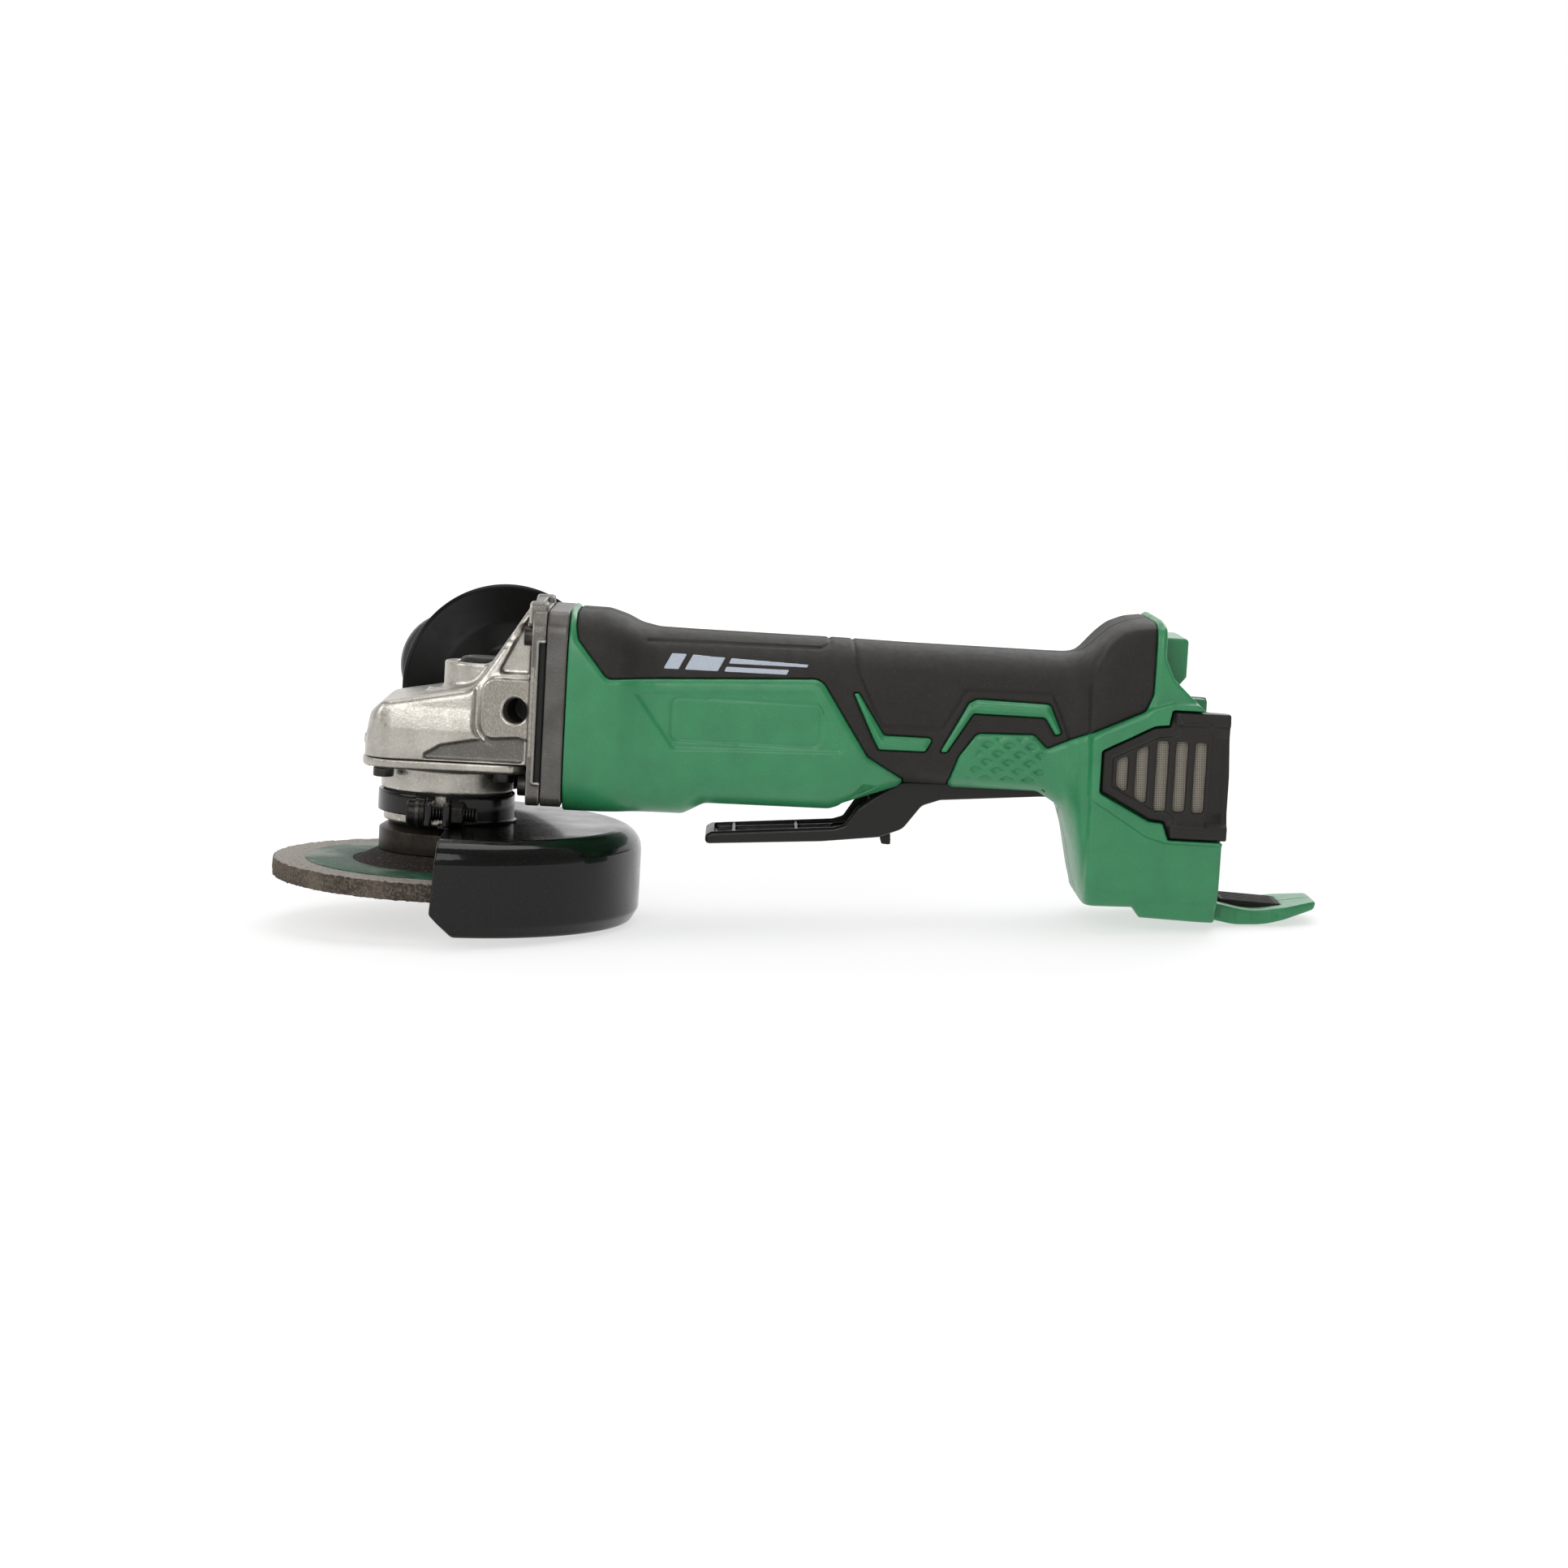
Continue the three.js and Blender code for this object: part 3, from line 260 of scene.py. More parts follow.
def quads_object(name, points, quads):
    mesh = bpy.data.meshes.new(name)
    mesh.vertices.add(len(points))
    mesh.vertices.foreach_set("co", points.astype(np.float32).ravel())
    mesh.loops.add(quads.size)
    mesh.loops.foreach_set("vertex_index", quads.astype(np.int32).ravel())
    mesh.polygons.add(len(quads))
    mesh.polygons.foreach_set("loop_start", np.arange(0, quads.size, 4, dtype=np.int32))
    mesh.update(calc_edges=True)
    return new_object(name, mesh)


def in_tool(points):
    """Tool-frame millimetres to row-frame metres."""
    m = np.array(TOOL)
    return np.asarray(points, dtype=float) @ m[:3, :3].T + m[:3, 3]


def to_tool(points):
    """Row-frame metres to tool-frame millimetres."""
    m = np.array(TOOL.inverted())
    return points @ m[:3, :3].T + m[:3, 3]


def signed_volume(points, quads):
    a, b, c, d = (points[quads[:, k]] for k in range(4))
    return float(np.einsum("ij,ij->", a, np.cross(b, c)) + np.einsum("ij,ij->", a, np.cross(c, d)))


def apply_modifiers(obj):
    graph = bpy.context.evaluated_depsgraph_get()
    mesh = bpy.data.meshes.new_from_object(obj.evaluated_get(graph))
    obj.modifiers.clear()
    old, obj.data = obj.data, mesh
    bpy.data.meshes.remove(old)


def skinned(name, field, block, faces=60000, mirror=False):
    """The field's zero surface as a smooth mesh of at most that many triangles."""
    far = 3 * block.step
    values = np.broadcast_to(field, block.shape)
    values = np.ascontiguousarray(np.clip(values, -far, far), dtype=np.float32)
    for axis in range(3):
        ends = np.moveaxis(values, axis, 0)
        ends[0] = ends[-1] = far
    grid = openvdb.FloatGrid(far)
    grid.copyFromArray(values, tolerance=1e-5)
    points, quads = grid.convertToQuads(0.0)
    points = points.astype(float) * block.step + block.low
    if mirror:
        points[:, 1] *= -1
    if signed_volume(points - points.mean(0), quads) < 0:
        quads = quads[:, ::-1]
    obj = quads_object(name, in_tool(points), quads)
    if 2 * len(quads) > faces:
        thin = obj.modifiers.new("thin", "DECIMATE")
        thin.ratio = faces / (2 * len(quads))
        apply_modifiers(obj)
    obj.data.shade_smooth()
    return obj


def mirrored(name, field, block, side, faces):
    """A left piece, or its mirror image on the right."""
    return skinned(name.format("right" if side > 0 else "left"), field, block, faces, mirror=side > 0)


def lathe(name, profile, place=None, segments=96, sharp=38):
    """A solid turned round its own z axis from (radius, z) points; place sets it in the tool's frame.

    A ring's radius may be an array with one value for each segment, where the ring isn't round.
    """
    following = profile[1:] + profile[:1]
    if sum(np.mean(r) * z1 - np.mean(r1) * z for (r, z), (r1, z1) in zip(profile, following)) < 0:
        profile = profile[::-1]
    angles = 2 * math.pi * np.arange(segments) / segments
    verts, faces, rows = [], [], []
    for radius, z in profile:
        count = segments if np.max(radius) > 1e-6 else 1
        rows.append(range(len(verts), len(verts) + count))
        ring = (radius * np.cos(angles), radius * np.sin(angles), np.full(segments, float(z)))
        verts += list(np.stack(ring, axis=1)[:count])
    closed = len(rows[0]) > 1
    for low, high in zip(rows, rows[1:] + rows[:1] if closed else rows[1:]):
        for k in range(segments):
            n = (k + 1) % segments
            if len(low) == 1:
                faces.append((low[0], high[n], high[k]))
            elif len(high) == 1:
                faces.append((low[k], low[n], high[0]))
            else:
                faces.append((low[k], low[n], high[n], high[k]))
    matrix = TOOL @ (place or Matrix.Identity(4))
    obj = plain_object(name, [tuple(matrix @ Vector(v)) for v in verts], faces)
    obj.data.shade_smooth()
    obj.data.set_sharp_from_angle(angle=math.radians(sharp))
    return obj


def rounded(points, r, steps=4):
    """A profile whose corners carry small arcs."""
    out = [points[0]]
    for before, here, after in zip(points, points[1:], points[2:]):
        p, h, n = (np.array(v[:2], dtype=float) for v in (before, here, after))
        u, v = p - h, n - h
        reach = min(r, 0.45 * np.hypot(*u), 0.45 * np.hypot(*v))
        u, v = u / np.hypot(*u) * reach, v / np.hypot(*v) * reach
        for k in range(steps + 1):
            s = k / steps
            out.append(tuple(h + u * (1 - s) ** 2 + v * s ** 2))
    out.append(points[-1])
    return out


def placed(x, y, z, toward="Z"):
    """A matrix that stands a piece's z axis along the named tool axis at a point."""
    turns = {"Z": Matrix.Identity(4), "X": Matrix.Rotation(math.pi / 2, 4, "Y"),
             "-X": Matrix.Rotation(-math.pi / 2, 4, "Y"), "-Z": Matrix.Rotation(math.pi, 4, "X")}
    return Matrix.Translation((x, y, z)) @ turns[toward]


def handle_place():
    """The side handle's own frame: z runs out of the milled face."""
    return (Matrix.Translation(HANDLE) @ Matrix.Rotation(HANDLE_LEAN, 4, "Z")
            @ Matrix.Rotation(-math.pi / 2, 4, "X"))


def finish_piece(obj, material, body, slot, *nodes):
    """Gives a new piece its material and body, and hides the CAD nodes that it stands for; its slot
    argument is not used.
    """
    obj.data.materials.clear()
    obj.data.materials.append(MAT[material])
    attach(obj, body)
    if nodes:
        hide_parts(*nodes)
    return obj


# ---------- housing ----------
# Sections of the outer skin: x, lower z, upper z, half width and exponent.
SKIN = [
    (40, 22.2, 88.6, 30.6, 5), (52, 22.1, 88.5, 31.6, 4.4), (58, 22.2, 86.8, 31.2, 4),
    (63, 22.4, 84.5, 29.4, 3.7), (69, 22.4, 83.3, 28.5, 3.5), (80, 22.5, 83.1, 28.3, 3.5),
    (87, 26.3, 83.1, 28.1, 3.3), (129, 26.5, 82.9, 27.7, 3.1), (153, 35.4, 82.5, 27.2, 3),
    (198, 35.6, 82.3, 27.3, 3), (206, 31, 82.3, 27.7, 3.2), (209, 23, 82.6, 28.8, 3.6),
    (211.5, 12, 83.5, 31.2, 4.5), (213.5, 4, 85, 32.2, 6), (215.5, 0.9, 86.9, 32.4, 7.5),
    (217, 0.6, 88.4, 32.5, 8.5), (221, 0.6, 92, 32.6, 9), (227, 0.6, 94.6, 32.7, 9.5),
    (234, 0.6, 95.6, 32.8, 9.5), (258.6, 0.6, 97.2, 33, 9.5),
]
MOULD = [
    (42.2, 110), (42.2, 84, 1), (43, 79.8, 2), (53.2, 67.4, 3), (123.8, 70.8, 5), (140.3, 45.9, 2),
    (152.7, 38.5, 1), (152.7, 25), (167.8, 25), (167.8, 38.5), (170.5, 47.5, 6), (176.1, 55.7, 3),
    (195, 56.2, 2), (199.6, 51.8, 1), (230.8, 66.4, 3), (233, 72, 3), (233.4, 110),
]
STRIP_LOW = [
    (134.4, 67.1, 0.5), (136.5, 66.8, 0.5), (145.4, 53.4, 1), (161.9, 53.3, 1), (159.4, 48.4, 1),
    (143.9, 48.4, 1), (141.6, 52.6),
]
STRIP_HIGH = [
    (164.1, 48.6, 0.5), (172.9, 65.6, 2), (175.5, 67, 2), (199.8, 66.6, 2), (204.1, 57.1, 0.5),
    (202.1, 56.2, 0.5), (198.4, 61.9, 1), (174.6, 62.1, 1), (166.5, 48.6, 0.5),
]
GRIP_LINE = [
    (133.2, 90), (133.5, 85), (136.3, 74), (144.7, 56.3), (164.8, 56.3), (172.1, 69.6),
    (200.8, 69.8), (205.8, 58.8), (206.8, 55.5),
]
LID_LINE = [(66, 80), (123.3, 80.3), (126.2, 81.5), (126.6, 90)]
SIDE_PANEL = [(61.5, 63.8, 1), (121.6, 66.8, 2), (134, 46.2, 2), (75.6, 44.6, 2)]
LABEL = [(74.7, 62.6, 3), (124.6, 62.6, 3), (124.6, 48.1, 3), (74.7, 48.1, 3)]
ARROW = [(134.6, 29.8), (139.4, 36.8, 1), (144.8, 35.4)]
COVER = [
    (217.2, 39, 1), (217.2, 52.8, 1), (234, 61.6, 1), (238.8, 62.2), (239.6, 67.2, 0.5), (262.6, 67.2),
    (262.6, 24.6), (240.6, 24.6, 0.5), (238.6, 30), (234, 30.4, 1),
]
FRAME_BAND = [
    (239.6, 70, 1), (232.6, 67.9, 2), (213.6, 58, 2), (213, 56), (213.2, 36.8, 2), (233.3, 24.6, 2),
    (240.4, 22.8, 1), (262.6, 22.8), (262.6, 70),
]
LEVER_SLOT = [(131, 10), (131, 26), (135, 31), (150, 44), (207, 44), (207, 28), (190, 10)]
BAY_EDGE = [
    (234.8, 120), (234.8, 98), (236.5, 93.8, 1), (236.5, 84, 5), (239.5, 77.5, 5), (251, 66.9, 3),
    (275, 66.2), (275, 120),
]
UNDERSIDE = [(190, -20), (190, 0), (231.8, 0.6, 0.5), (233.2, -2.6, 1), (262, -3.2), (262, -20)]
BASE = [
    (228, 12), (231, 0.6, 0.5), (233.2, -2.6, 1), (252.6, -3.2), (258.4, -3.2, 1), (258.4, 12),
]
FLANK = [
    (213.5, -10), (213.5, 36), (212, 62.7), (211.6, 73.7, 6), (213.6, 80.8, 6), (217.1, 88, 6),
    (222.2, 92.6, 5), (226.8, 94.2, 8), (240, 95.2), (275, 95.2), (275, -10),
]
DUCT = [(222, 41), (222, 51), (233, 56.5), (238, 56.5), (238, 36), (233, 36)]
BATTERY_STOP = [(235, 90), (245.6, 90, 1.5), (245.6, 77, 1.5), (243, 73.8), (235, 73.8)]
DIAMONDS = [(173, 40), (178, 55), (196, 55.4), (199.6, 50), (199.6, 39)]
MOULD_T = 2.0          # thickness of the soft grip
GREEN_RISE = 0.8       # the green plastic stands this proud of the soft grip


def between(x, column):
    """A section value along x, eased so that no joint between sections shows as a crease."""
    xs = np.array([s[0] for s in SKIN], dtype=float)
    values = np.array([s[column] for s in SKIN], dtype=float)
    fine = np.arange(30, 300, 0.25)
    raw = np.interp(fine, xs, values)
    width = 17
    kernel = np.hanning(width + 2)[1:-1]
    eased = np.convolve(np.pad(raw, width // 2, mode="edge"), kernel / kernel.sum(), mode="valid")
    return np.interp(x, fine, eased).astype(np.float32)


def skin_field(block):
    """Distance from the housing's outer skin, a superellipse in each section across X."""
    low, high, half, power = (between(block.x, k) for k in (1, 2, 3, 4))
    a = np.maximum(np.abs(block.y) / half, 1e-4)
    b = np.maximum(np.abs(block.z - (low + high) / 2) / ((high - low) / 2), 1e-4)
    f = (a ** power + b ** power) ** (1 / power)
    slope = np.hypot(a ** (power - 1) / half, b ** (power - 1) / ((high - low) / 2)) * f ** (1 - power)
    return (f - 1) / np.maximum(slope, 0.012)


def flanked_skin(block):
    """The skin, whose rear block stands out from the round grip behind a soft crease."""
    fade = np.clip((244 - block.x) / 26, 0.25, 1)
    return skin_field(block) - 1.7 * fade * ramp(block.side(FLANK), 1.3)


def mould_map(block):
    """Side-view distance to the soft grip's edge, negative inside it."""
    region = block.side(MOULD)
    for strip in (STRIP_LOW, STRIP_HIGH):
        region = np.maximum(region, -block.side(strip))
    return region


def diamonds(block):
    """Side-view depth of the embossed diamonds on the rear of the grip."""
    pitch_x, pitch_z = 7.2, 5.8
    half_x, half_z = 2.8, 1.5
    depth = 0
    for shift in (0, 0.5):
        u = (block.x / pitch_x + shift) % 1 - 0.5
        v = (block.z / pitch_z + shift) % 1 - 0.5
        edge = np.abs(u * pitch_x) / half_x + np.abs(v * pitch_z) / half_z - 1
        depth = depth + 0.8 * np.clip(-edge * 3.2, 0, 1)
    return depth * ramp(block.side(DIAMONDS), 1.2)


def green_rise(block, mould):
    """How far the green plastic stands out from the skin in the side view."""
    rise = GREEN_RISE * np.clip(mould / 1.7, 0, 1)
    rise = rise + 1.6 * ramp(block.side(FRAME_BAND), 0.8)
    for strip in (STRIP_LOW, STRIP_HIGH):
        rise = rise + 0.4 * ramp(block.side(strip) + 0.9, 0.5)
    rise = rise - 0.7 * ramp(block.side(SIDE_PANEL), 1.3)
    label = block.side(LABEL)
    rise = rise - 0.35 * ramp(label, 0.5) - 0.55 * np.clip(1 - np.abs(label + 0.1) / 0.6, 0, 1)
    rise = rise - 1.4 * ramp(block.side(ARROW), 1.3)
    return rise - diamonds(block)


def lower_foot(block):
    slope = math.tan(TILT)
    low = -4.8
    side = [
        (246, 2.4), (246, -3), (257, -3.4, 6), (267, low - 5 * slope, 20), (277, low + 5 * slope, 30),
        (294.4, 0.6, 1.5), (295.3, 2.8, 0.8), (294, 3.4, 1), (272, -0.2, 30), (258, 2.4),
    ]
    plan = [(240, -17), (284, -17, 6), (295.8, -10, 6), (295.8, 10, 6), (284, 17, 6), (240, 17)]
    return both(prism_y(side, block, -20, 20, 0.8), block.plan(plan), 0.8)


def housing_half(side):
    block = Block((39, -37, -6.5), (297, 1.0, 99.5), 0.5)
    skin = flanked_skin(block)
    mould = mould_map(block)
    shell = both(skin + MOULD_T, HOUSING_X - block.x, 0.5)
    proud = both(skin - green_rise(block, mould), 0.12 - mould, 0.35)
    shell = np.minimum(shell, both(proud, HOUSING_X - block.x, 0.5))
    shell = both(shell, block.x - REAR_X, 0.8)
    del skin, proud
    shell = minus(shell, block.side(BAY_EDGE), 1.0)
    shell = minus(shell, block.side(UNDERSIDE), 0.8)
    shell = either(shell, prism_y(BASE, block, -31, 31, 2.5), 0.5)
    hollows = [
        box(block, BAY_X, 300, -BAY_HALF, BAY_HALF, BAY_FLOOR, 120, 0.8),
        prism_y(LEVER_SLOT, block, -LEVER_HALF - 1, LEVER_HALF + 1),
        prism_y(COVER, block, -60, -30.2) - 0.3,
        prism_y(DUCT, block, -34, -24, radius=1),
        rod_x(block, 25.6, 30, 101.5), rod_x(block, 12, 90, 113),
        box(block, 149, 228, -19, 19, 46, 69),
    ]
    for hollow in hollows:
        shell = minus(shell, hollow, 0.3)
    shell = minus(shell, rod_y(block, PIN_HOLE_R, *LEVER_PIVOT, -19.5, 19.5))
    shell = either(shell, lower_foot(block), 1.5)
    shell = minus(shell, box(block, 261.8, 283.2, -10.2, 10.2, -0.4, 8))
    shell = minus(shell, box(block, BAY_X, REAR_X + 4, -BAY_HALF, BAY_HALF, BAY_FLOOR, 120))
    shell = either(shell, prism_y(BATTERY_STOP, block, -16, 16, 1.0), 0.4)
    if side > 0:
        for x, z in HOUSING_SCREWS:
            shell = minus(shell, rod_y(block, 3.8, x, z, -60, -19.5), 0.4)
    shell = both(shell, block.y + 0.15, 0.35)
    return mirrored("housing_{}_shell", shell, block, side, 190000)


def grip_half(side):
    block = Block((41, -36, 36), (237.5, 1.0, 99.5), 0.5)
    skin = flanked_skin(block)
    mould = mould_map(block)
    groove = 0.6 * np.clip(1.2 - line(GRIP_LINE, block.x, block.z) / 0.5, 0, 1)
    groove = groove + 0.5 * np.clip(1.4 - line(LID_LINE, block.x, block.z) / 0.5, 0, 1)
    layer = both(skin + groove, mould + 0.15, 0.6)
    layer = minus(layer, skin + MOULD_T - 0.1)
    layer = minus(layer, prism_y(LEVER_SLOT, block, -LEVER_HALF - 1, LEVER_HALF + 1))
    layer = minus(layer, block.side(BAY_EDGE))
    if side > 0:
        for x, z in HOUSING_SCREWS:
            layer = minus(layer, rod_y(block, 3.8, x, z, -60, -10), 0.4)
    layer = both(layer, block.y + 0.15, 0.3)
    return mirrored("grip_{}", layer, block, side, 120000)


def foot_pad():
    block = Block((261, -11, -1.5), (284, 11, 5), 0.25)
    side = [(262.2, -0.1), (282.8, -0.1), (282.8, 1.9), (262.2, 2.7)]
    pad = prism_y(side, block, -9.8, 9.8, 0.5, radius=0.5)
    top = 2.7 - (block.x - 262.2) * 0.04
    for i in range(6):
        groove = np.hypot(block.y + 7.5 - 3 * i, block.z - top - 0.15) - 0.75
        pad = minus(pad, both(groove, slab(block.x, 263.6, 281.4), 0.4), 0.25)
    return skinned("foot_pad_ribbed", pad, block, faces=24000)


# ---------- gear case ----------
def handle_axes(block, side):
    """Coordinates of the sample points in the side handle's own frame: across, up, outwards."""
    out = (-math.sin(HANDLE_LEAN), side * math.cos(HANDLE_LEAN))
    u, v = block.x - HANDLE[0], block.y - side * HANDLE[1]
    along = u * out[0] + v * out[1]
    across = u * out[1] * side - v * out[0] * side
    return across, block.z - HANDLE[2], along


def flange(block, x0, x1, top, r):
    """The nearly square flange that the gear case and the motor plate share."""
    face = outline([
        (-30, AXIS_Z - 30.8, 4), (30, AXIS_Z - 30.8, 4), (30, 83, 6), (25.5, top, 3), (-25.5, top, 3),
        (-30, 83, 6),
    ])
    return both(polygon(face, block.y, block.z), slab(block.x, x0, x1), r)


def case_block(block):
    side = [
        (NOSE_X, CASE_LOW - 8), (NOSE_X, 42, 3), (-25.2, 51.5, 5), (-21, 55.6, 5), (9, 61.4, 8),
        (24.8, 86.5, 3), (27.4, 90.6, 1.5), (FLANGE_X + 2, 90.6), (FLANGE_X + 2, CASE_LOW - 8),
    ]
    plan = [
        (NOSE_X, -CASE_HALF, 13), (FLANGE_X + 4, -CASE_HALF), (FLANGE_X + 4, CASE_HALF),
        (NOSE_X, CASE_HALF, 13),
    ]
    front = outline([
        (-CASE_HALF, CASE_LOW - 8), (CASE_HALF, CASE_LOW - 8), (CASE_HALF, 47, 3), (25.2, 54.5, 6),
        (21.5, 93, 2), (-21.5, 93, 2), (-25.2, 54.5, 6), (-CASE_HALF, 47, 3),
    ])
    walls = both(block.plan(plan), polygon(front, block.y, block.z), 2.0)
    return both(walls, block.side(side), 2.6)


def outward(side, y, far=40):
    """The two y values of a cut that comes in from that side as far as y."""
    return (-far, -y) if side < 0 else (y, far)


def side_slot(block, side):
    """The narrow slot down each side of the flange, where it meets the motor plate."""
    return box(block, 30.4, SEAM_X + 2, *outward(side, 27.6, 34), 32, 78, 0.2)


def gear_case():
    block = Block((-31, -33, 22), (34, 33, 93.5), 0.4)
    case = both(case_block(block), CASE_LOW - block.z, 0.5)
    pocket = [(-9, 37.4, 1), (-1, 42.4, 2), (11, 44.8, 4), (26.6, 46.3, 2), (26.6, 37.4, 1)]
    web = [(16.6, 66.6, 1.5), (27.2, 66.6, 1), (27.2, 88, 0.5)]
    for side in (-1, 1):
        across, up, along = handle_axes(block, side)
        pad = both(slab(across, -11.4, 12), slab(up, -9.3, 10.1), 4.5)
        case = minus(case, both(pad - 2.4, -0.6 - along), 1.0)
        case = either(case, both(both(pad, slab(along, -14, 0), 0.5), block.x - FLANGE_X - 1), 1.6)
        case = minus(case, prism_y(pocket, block, *outward(side, 25.1), 1.2), 0.7)
        case = minus(case, prism_y(web, block, *outward(side, 18.6), 1.0), 0.5)
    case = either(case, rod_z(block, 12.6, 50, 68.6, x=LOCK_X, r=0.7), 2.0)
    case = either(case, rod_z(block, 7.8, 48, 59.3, r=0.5), 1.4)
    case = either(case, flange(block, FLANGE_X - 0.6, SEAM_X, 88.6, 0.5), 0.8)
    for y in (-20.5, 20.5):
        lug = both(slab(block.y, y - 4.8, y + 4.8), slab(block.z, 82, 91), 1.8)
        case = either(case, both(lug, slab(block.x, 26.4, SEAM_X), 0.8), 0.6)
    for side in (-1, 1):
        lip = both(side_slot(block, side) - 1.1, side * block.y - 30.5)
        case = minus(either(case, both(lip, block.x - SEAM_X), 0.4), side_slot(block, side), 0.3)
        across, up, along = handle_axes(block, side)
        thread = THREAD_R + 0.3 * np.abs((along / THREAD_PITCH) % 1 - 0.5) * 2
        case = minus(case, both(np.hypot(across, up) - thread, slab(along, -12.5, 6)), 0.25)
        case = minus(case, np.hypot(across, up) - 4.9 - along, 0.2)
    case = either(case, rod_x(block, 2.2, NOSE_X - 0.9, NOSE_X + 3, y=0, z=40.6, r=0.8), 0.4)
    for x, y in HOLDER_SCREWS:
        case = minus(case, rod_z(block, SCREW_HOLE_R, 30, 47.5, x=x, y=y))
    for y, z in CASE_SCREWS:
        case = minus(case, rod_x(block, SCREW_HOLE_R, 20, 40, y=y, z=z))
        case = minus(case, rod_x(block, 4.3, 8, FLANGE_X - 0.6, y=y, z=z), 0.6)
    case = minus(case, block.turned([(0, 30), (23.8, 30), (23.8, 49), (15, 52.2), (0, 52.2)]), 0.3)
    case = minus(case, rod_z(block, 6.5, 50, 58.5))
    case = minus(case, rod_z(block, 3, 50, 60, x=LOCK_X))
    case = minus(case, rod_z(block, 8.6, 58, 95, x=LOCK_X), 0.3)
    case = minus(case, rod_x(block, 9.4, 12.4, 31))
    case = minus(case, rod_x(block, 11.6, 30.5, 40))
    return skinned("gear_case_casting", case, block, faces=190000)


def bearing_holder():
    block = Block((-29, -28, 13), (29, 28, 37.5), 0.4)
    half = CASE_HALF - 0.4
    plan = block.plan([(NOSE_X, -half, 14), (27.6, -half, 8), (27.6, half, 8), (NOSE_X, half, 14)])
    plate = both(plan, slab(block.z, PLATE_LOW, CASE_LOW + 4), 1.3)
    plate = both(plate, block.z - CASE_LOW + 0.3, 0.4)
    neck = block.turned([(0, 14.4), (21, 14.4, 0.6), (21, 24.9), (22.2, 25.2, 0.8), (22.2, 36), (0, 36)])
    plate = either(plate, both(neck, block.z - 36), 1.2)
    for x, y in HOLDER_SCREWS:
        pad = rod_z(block, 4.6, PLATE_LOW + 0.4, 36, x=x, y=y, r=0.3)
        plate = either(minus(plate, rod_z(block, 4.6, 10, PLATE_LOW + 0.4, x=x, y=y)), pad, 0.3)
        plate = minus(plate, rod_z(block, SCREW_HOLE_R, 31, 40, x=x, y=y))
    plate = minus(plate, rod_z(block, 16.3, 20, 40))
    plate = minus(plate, rod_z(block, 9.2, 10, 40), 0.5)
    return skinned("bearing_holder_casting", plate, block, faces=110000)


def motor_plate():
    block = Block((31.6, -33, 21), (41.5, 33, 93), 0.4)
    plate = flange(block, SEAM_X + 0.25, HOUSING_X - 0.3, 88.4, 0.5)
    plate = minus(plate, rod_x(block, 19, 30, 45))
    radius = np.hypot(block.y, block.z - AXIS_Z)
    plate = either(plate, both(rod_x(block, 14, PLATE_X + 0.3, HOUSING_X - 0.3), 11.3 - radius))
    for k in range(4):
        a = math.pi * k / 4
        across = block.y * math.cos(a) + (block.z - AXIS_Z) * math.sin(a)
        along = block.y * math.sin(a) - (block.z - AXIS_Z) * math.cos(a)
        spoke = both(both(np.abs(across) - 2, np.abs(along) - 20),
                     slab(block.x, PLATE_X + 0.6, HOUSING_X - 0.6))
        plate = either(plate, both(spoke, 12 - radius), 0.3)
    for y, z in CASE_SCREWS:
        plate = minus(plate, rod_x(block, SCREW_HOLE_R, 30, 45, y=y, z=z))
    return skinned("motor_plate_casting", plate, block, faces=90000)


# ---------- guard, wheel and spindle ----------
def guard():
    block = Block((-26, -69, -18), (69, 69, 26), 0.42)
    inner = COLLAR_R - 1.7
    radius = np.hypot(block.x, block.y)
    shell = block.turned([
        (inner - 2, GUARD_TOP - SHEET), (GUARD_R - SHEET - 0.4, GUARD_TOP - SHEET, 6.2),
        (GUARD_R - SHEET, GUARD_LOW + 3.4, 2.6), (GUARD_R - 7, GUARD_LOW + 1.5, 0.5),
        (GUARD_R - 7.4, GUARD_LOW, 0.5), (GUARD_R - 2.6, GUARD_LOW, 2), (GUARD_R, GUARD_LOW + 4.5, 2.5),
        (GUARD_R, GUARD_TOP, 7.5), (inner - 2, GUARD_TOP),
    ])
    shell = both(shell, 1.3 + 0.065 * block.z - block.x, 0.5)
    shell = minus(shell, block.side([(-6, -2), (-6, GUARD_LOW - 4), (12.3, GUARD_LOW - 4)]), 0.5)
    collar = both(radius - COLLAR_R, slab(block.z, GUARD_TOP - SHEET, COLLAR_TOP), 0.5)
    collar = minus(collar, both(slab(block.z, 0, 17.4), block.x + 1), 0.3)
    shell = either(shell, collar, 1.0)
    for x0, x1 in ((-4.6, -2.2), (1.3, 3.7)):
        shell = either(shell, box(block, x0, x1, -34, -20, 15.6, 23.6, 0.7), 0.8)
    shell = minus(shell, box(block, -2.2, 1.3, -40, -15, GUARD_TOP + 0.2, 30), 0.2)
    shell = minus(shell, rod_x(block, 2.8, -8, 8, y=CLAMP[0], z=CLAMP[1]))
    shell = minus(shell, radius - inner, 0.4)
    return skinned("guard_sheet", shell, block, faces=190000)


def clamp_screw():
    """The screw with its washer, and a row of grooves for its 1 mm thread."""
    profile = [(0, 0), (3.7, 0), (4.3, 0.7), (4.3, 2.9), (4.8, 3.0), (4.8, 4.2), (4.6, 4.4), (4.6, 5.9)]
    profile += [(2.5, 6.0), (2.5, 9.0)]
    for z in range(9, 23):
        profile += [(2.5, z + 0.15), (2.05, z + 0.5), (2.5, z + 0.85)]
    profile += [(2.1, 23.2), (0, 23.3)]
    return lathe("clamp_screw", profile, placed(-10.9, *CLAMP, "X"), 48, 25)


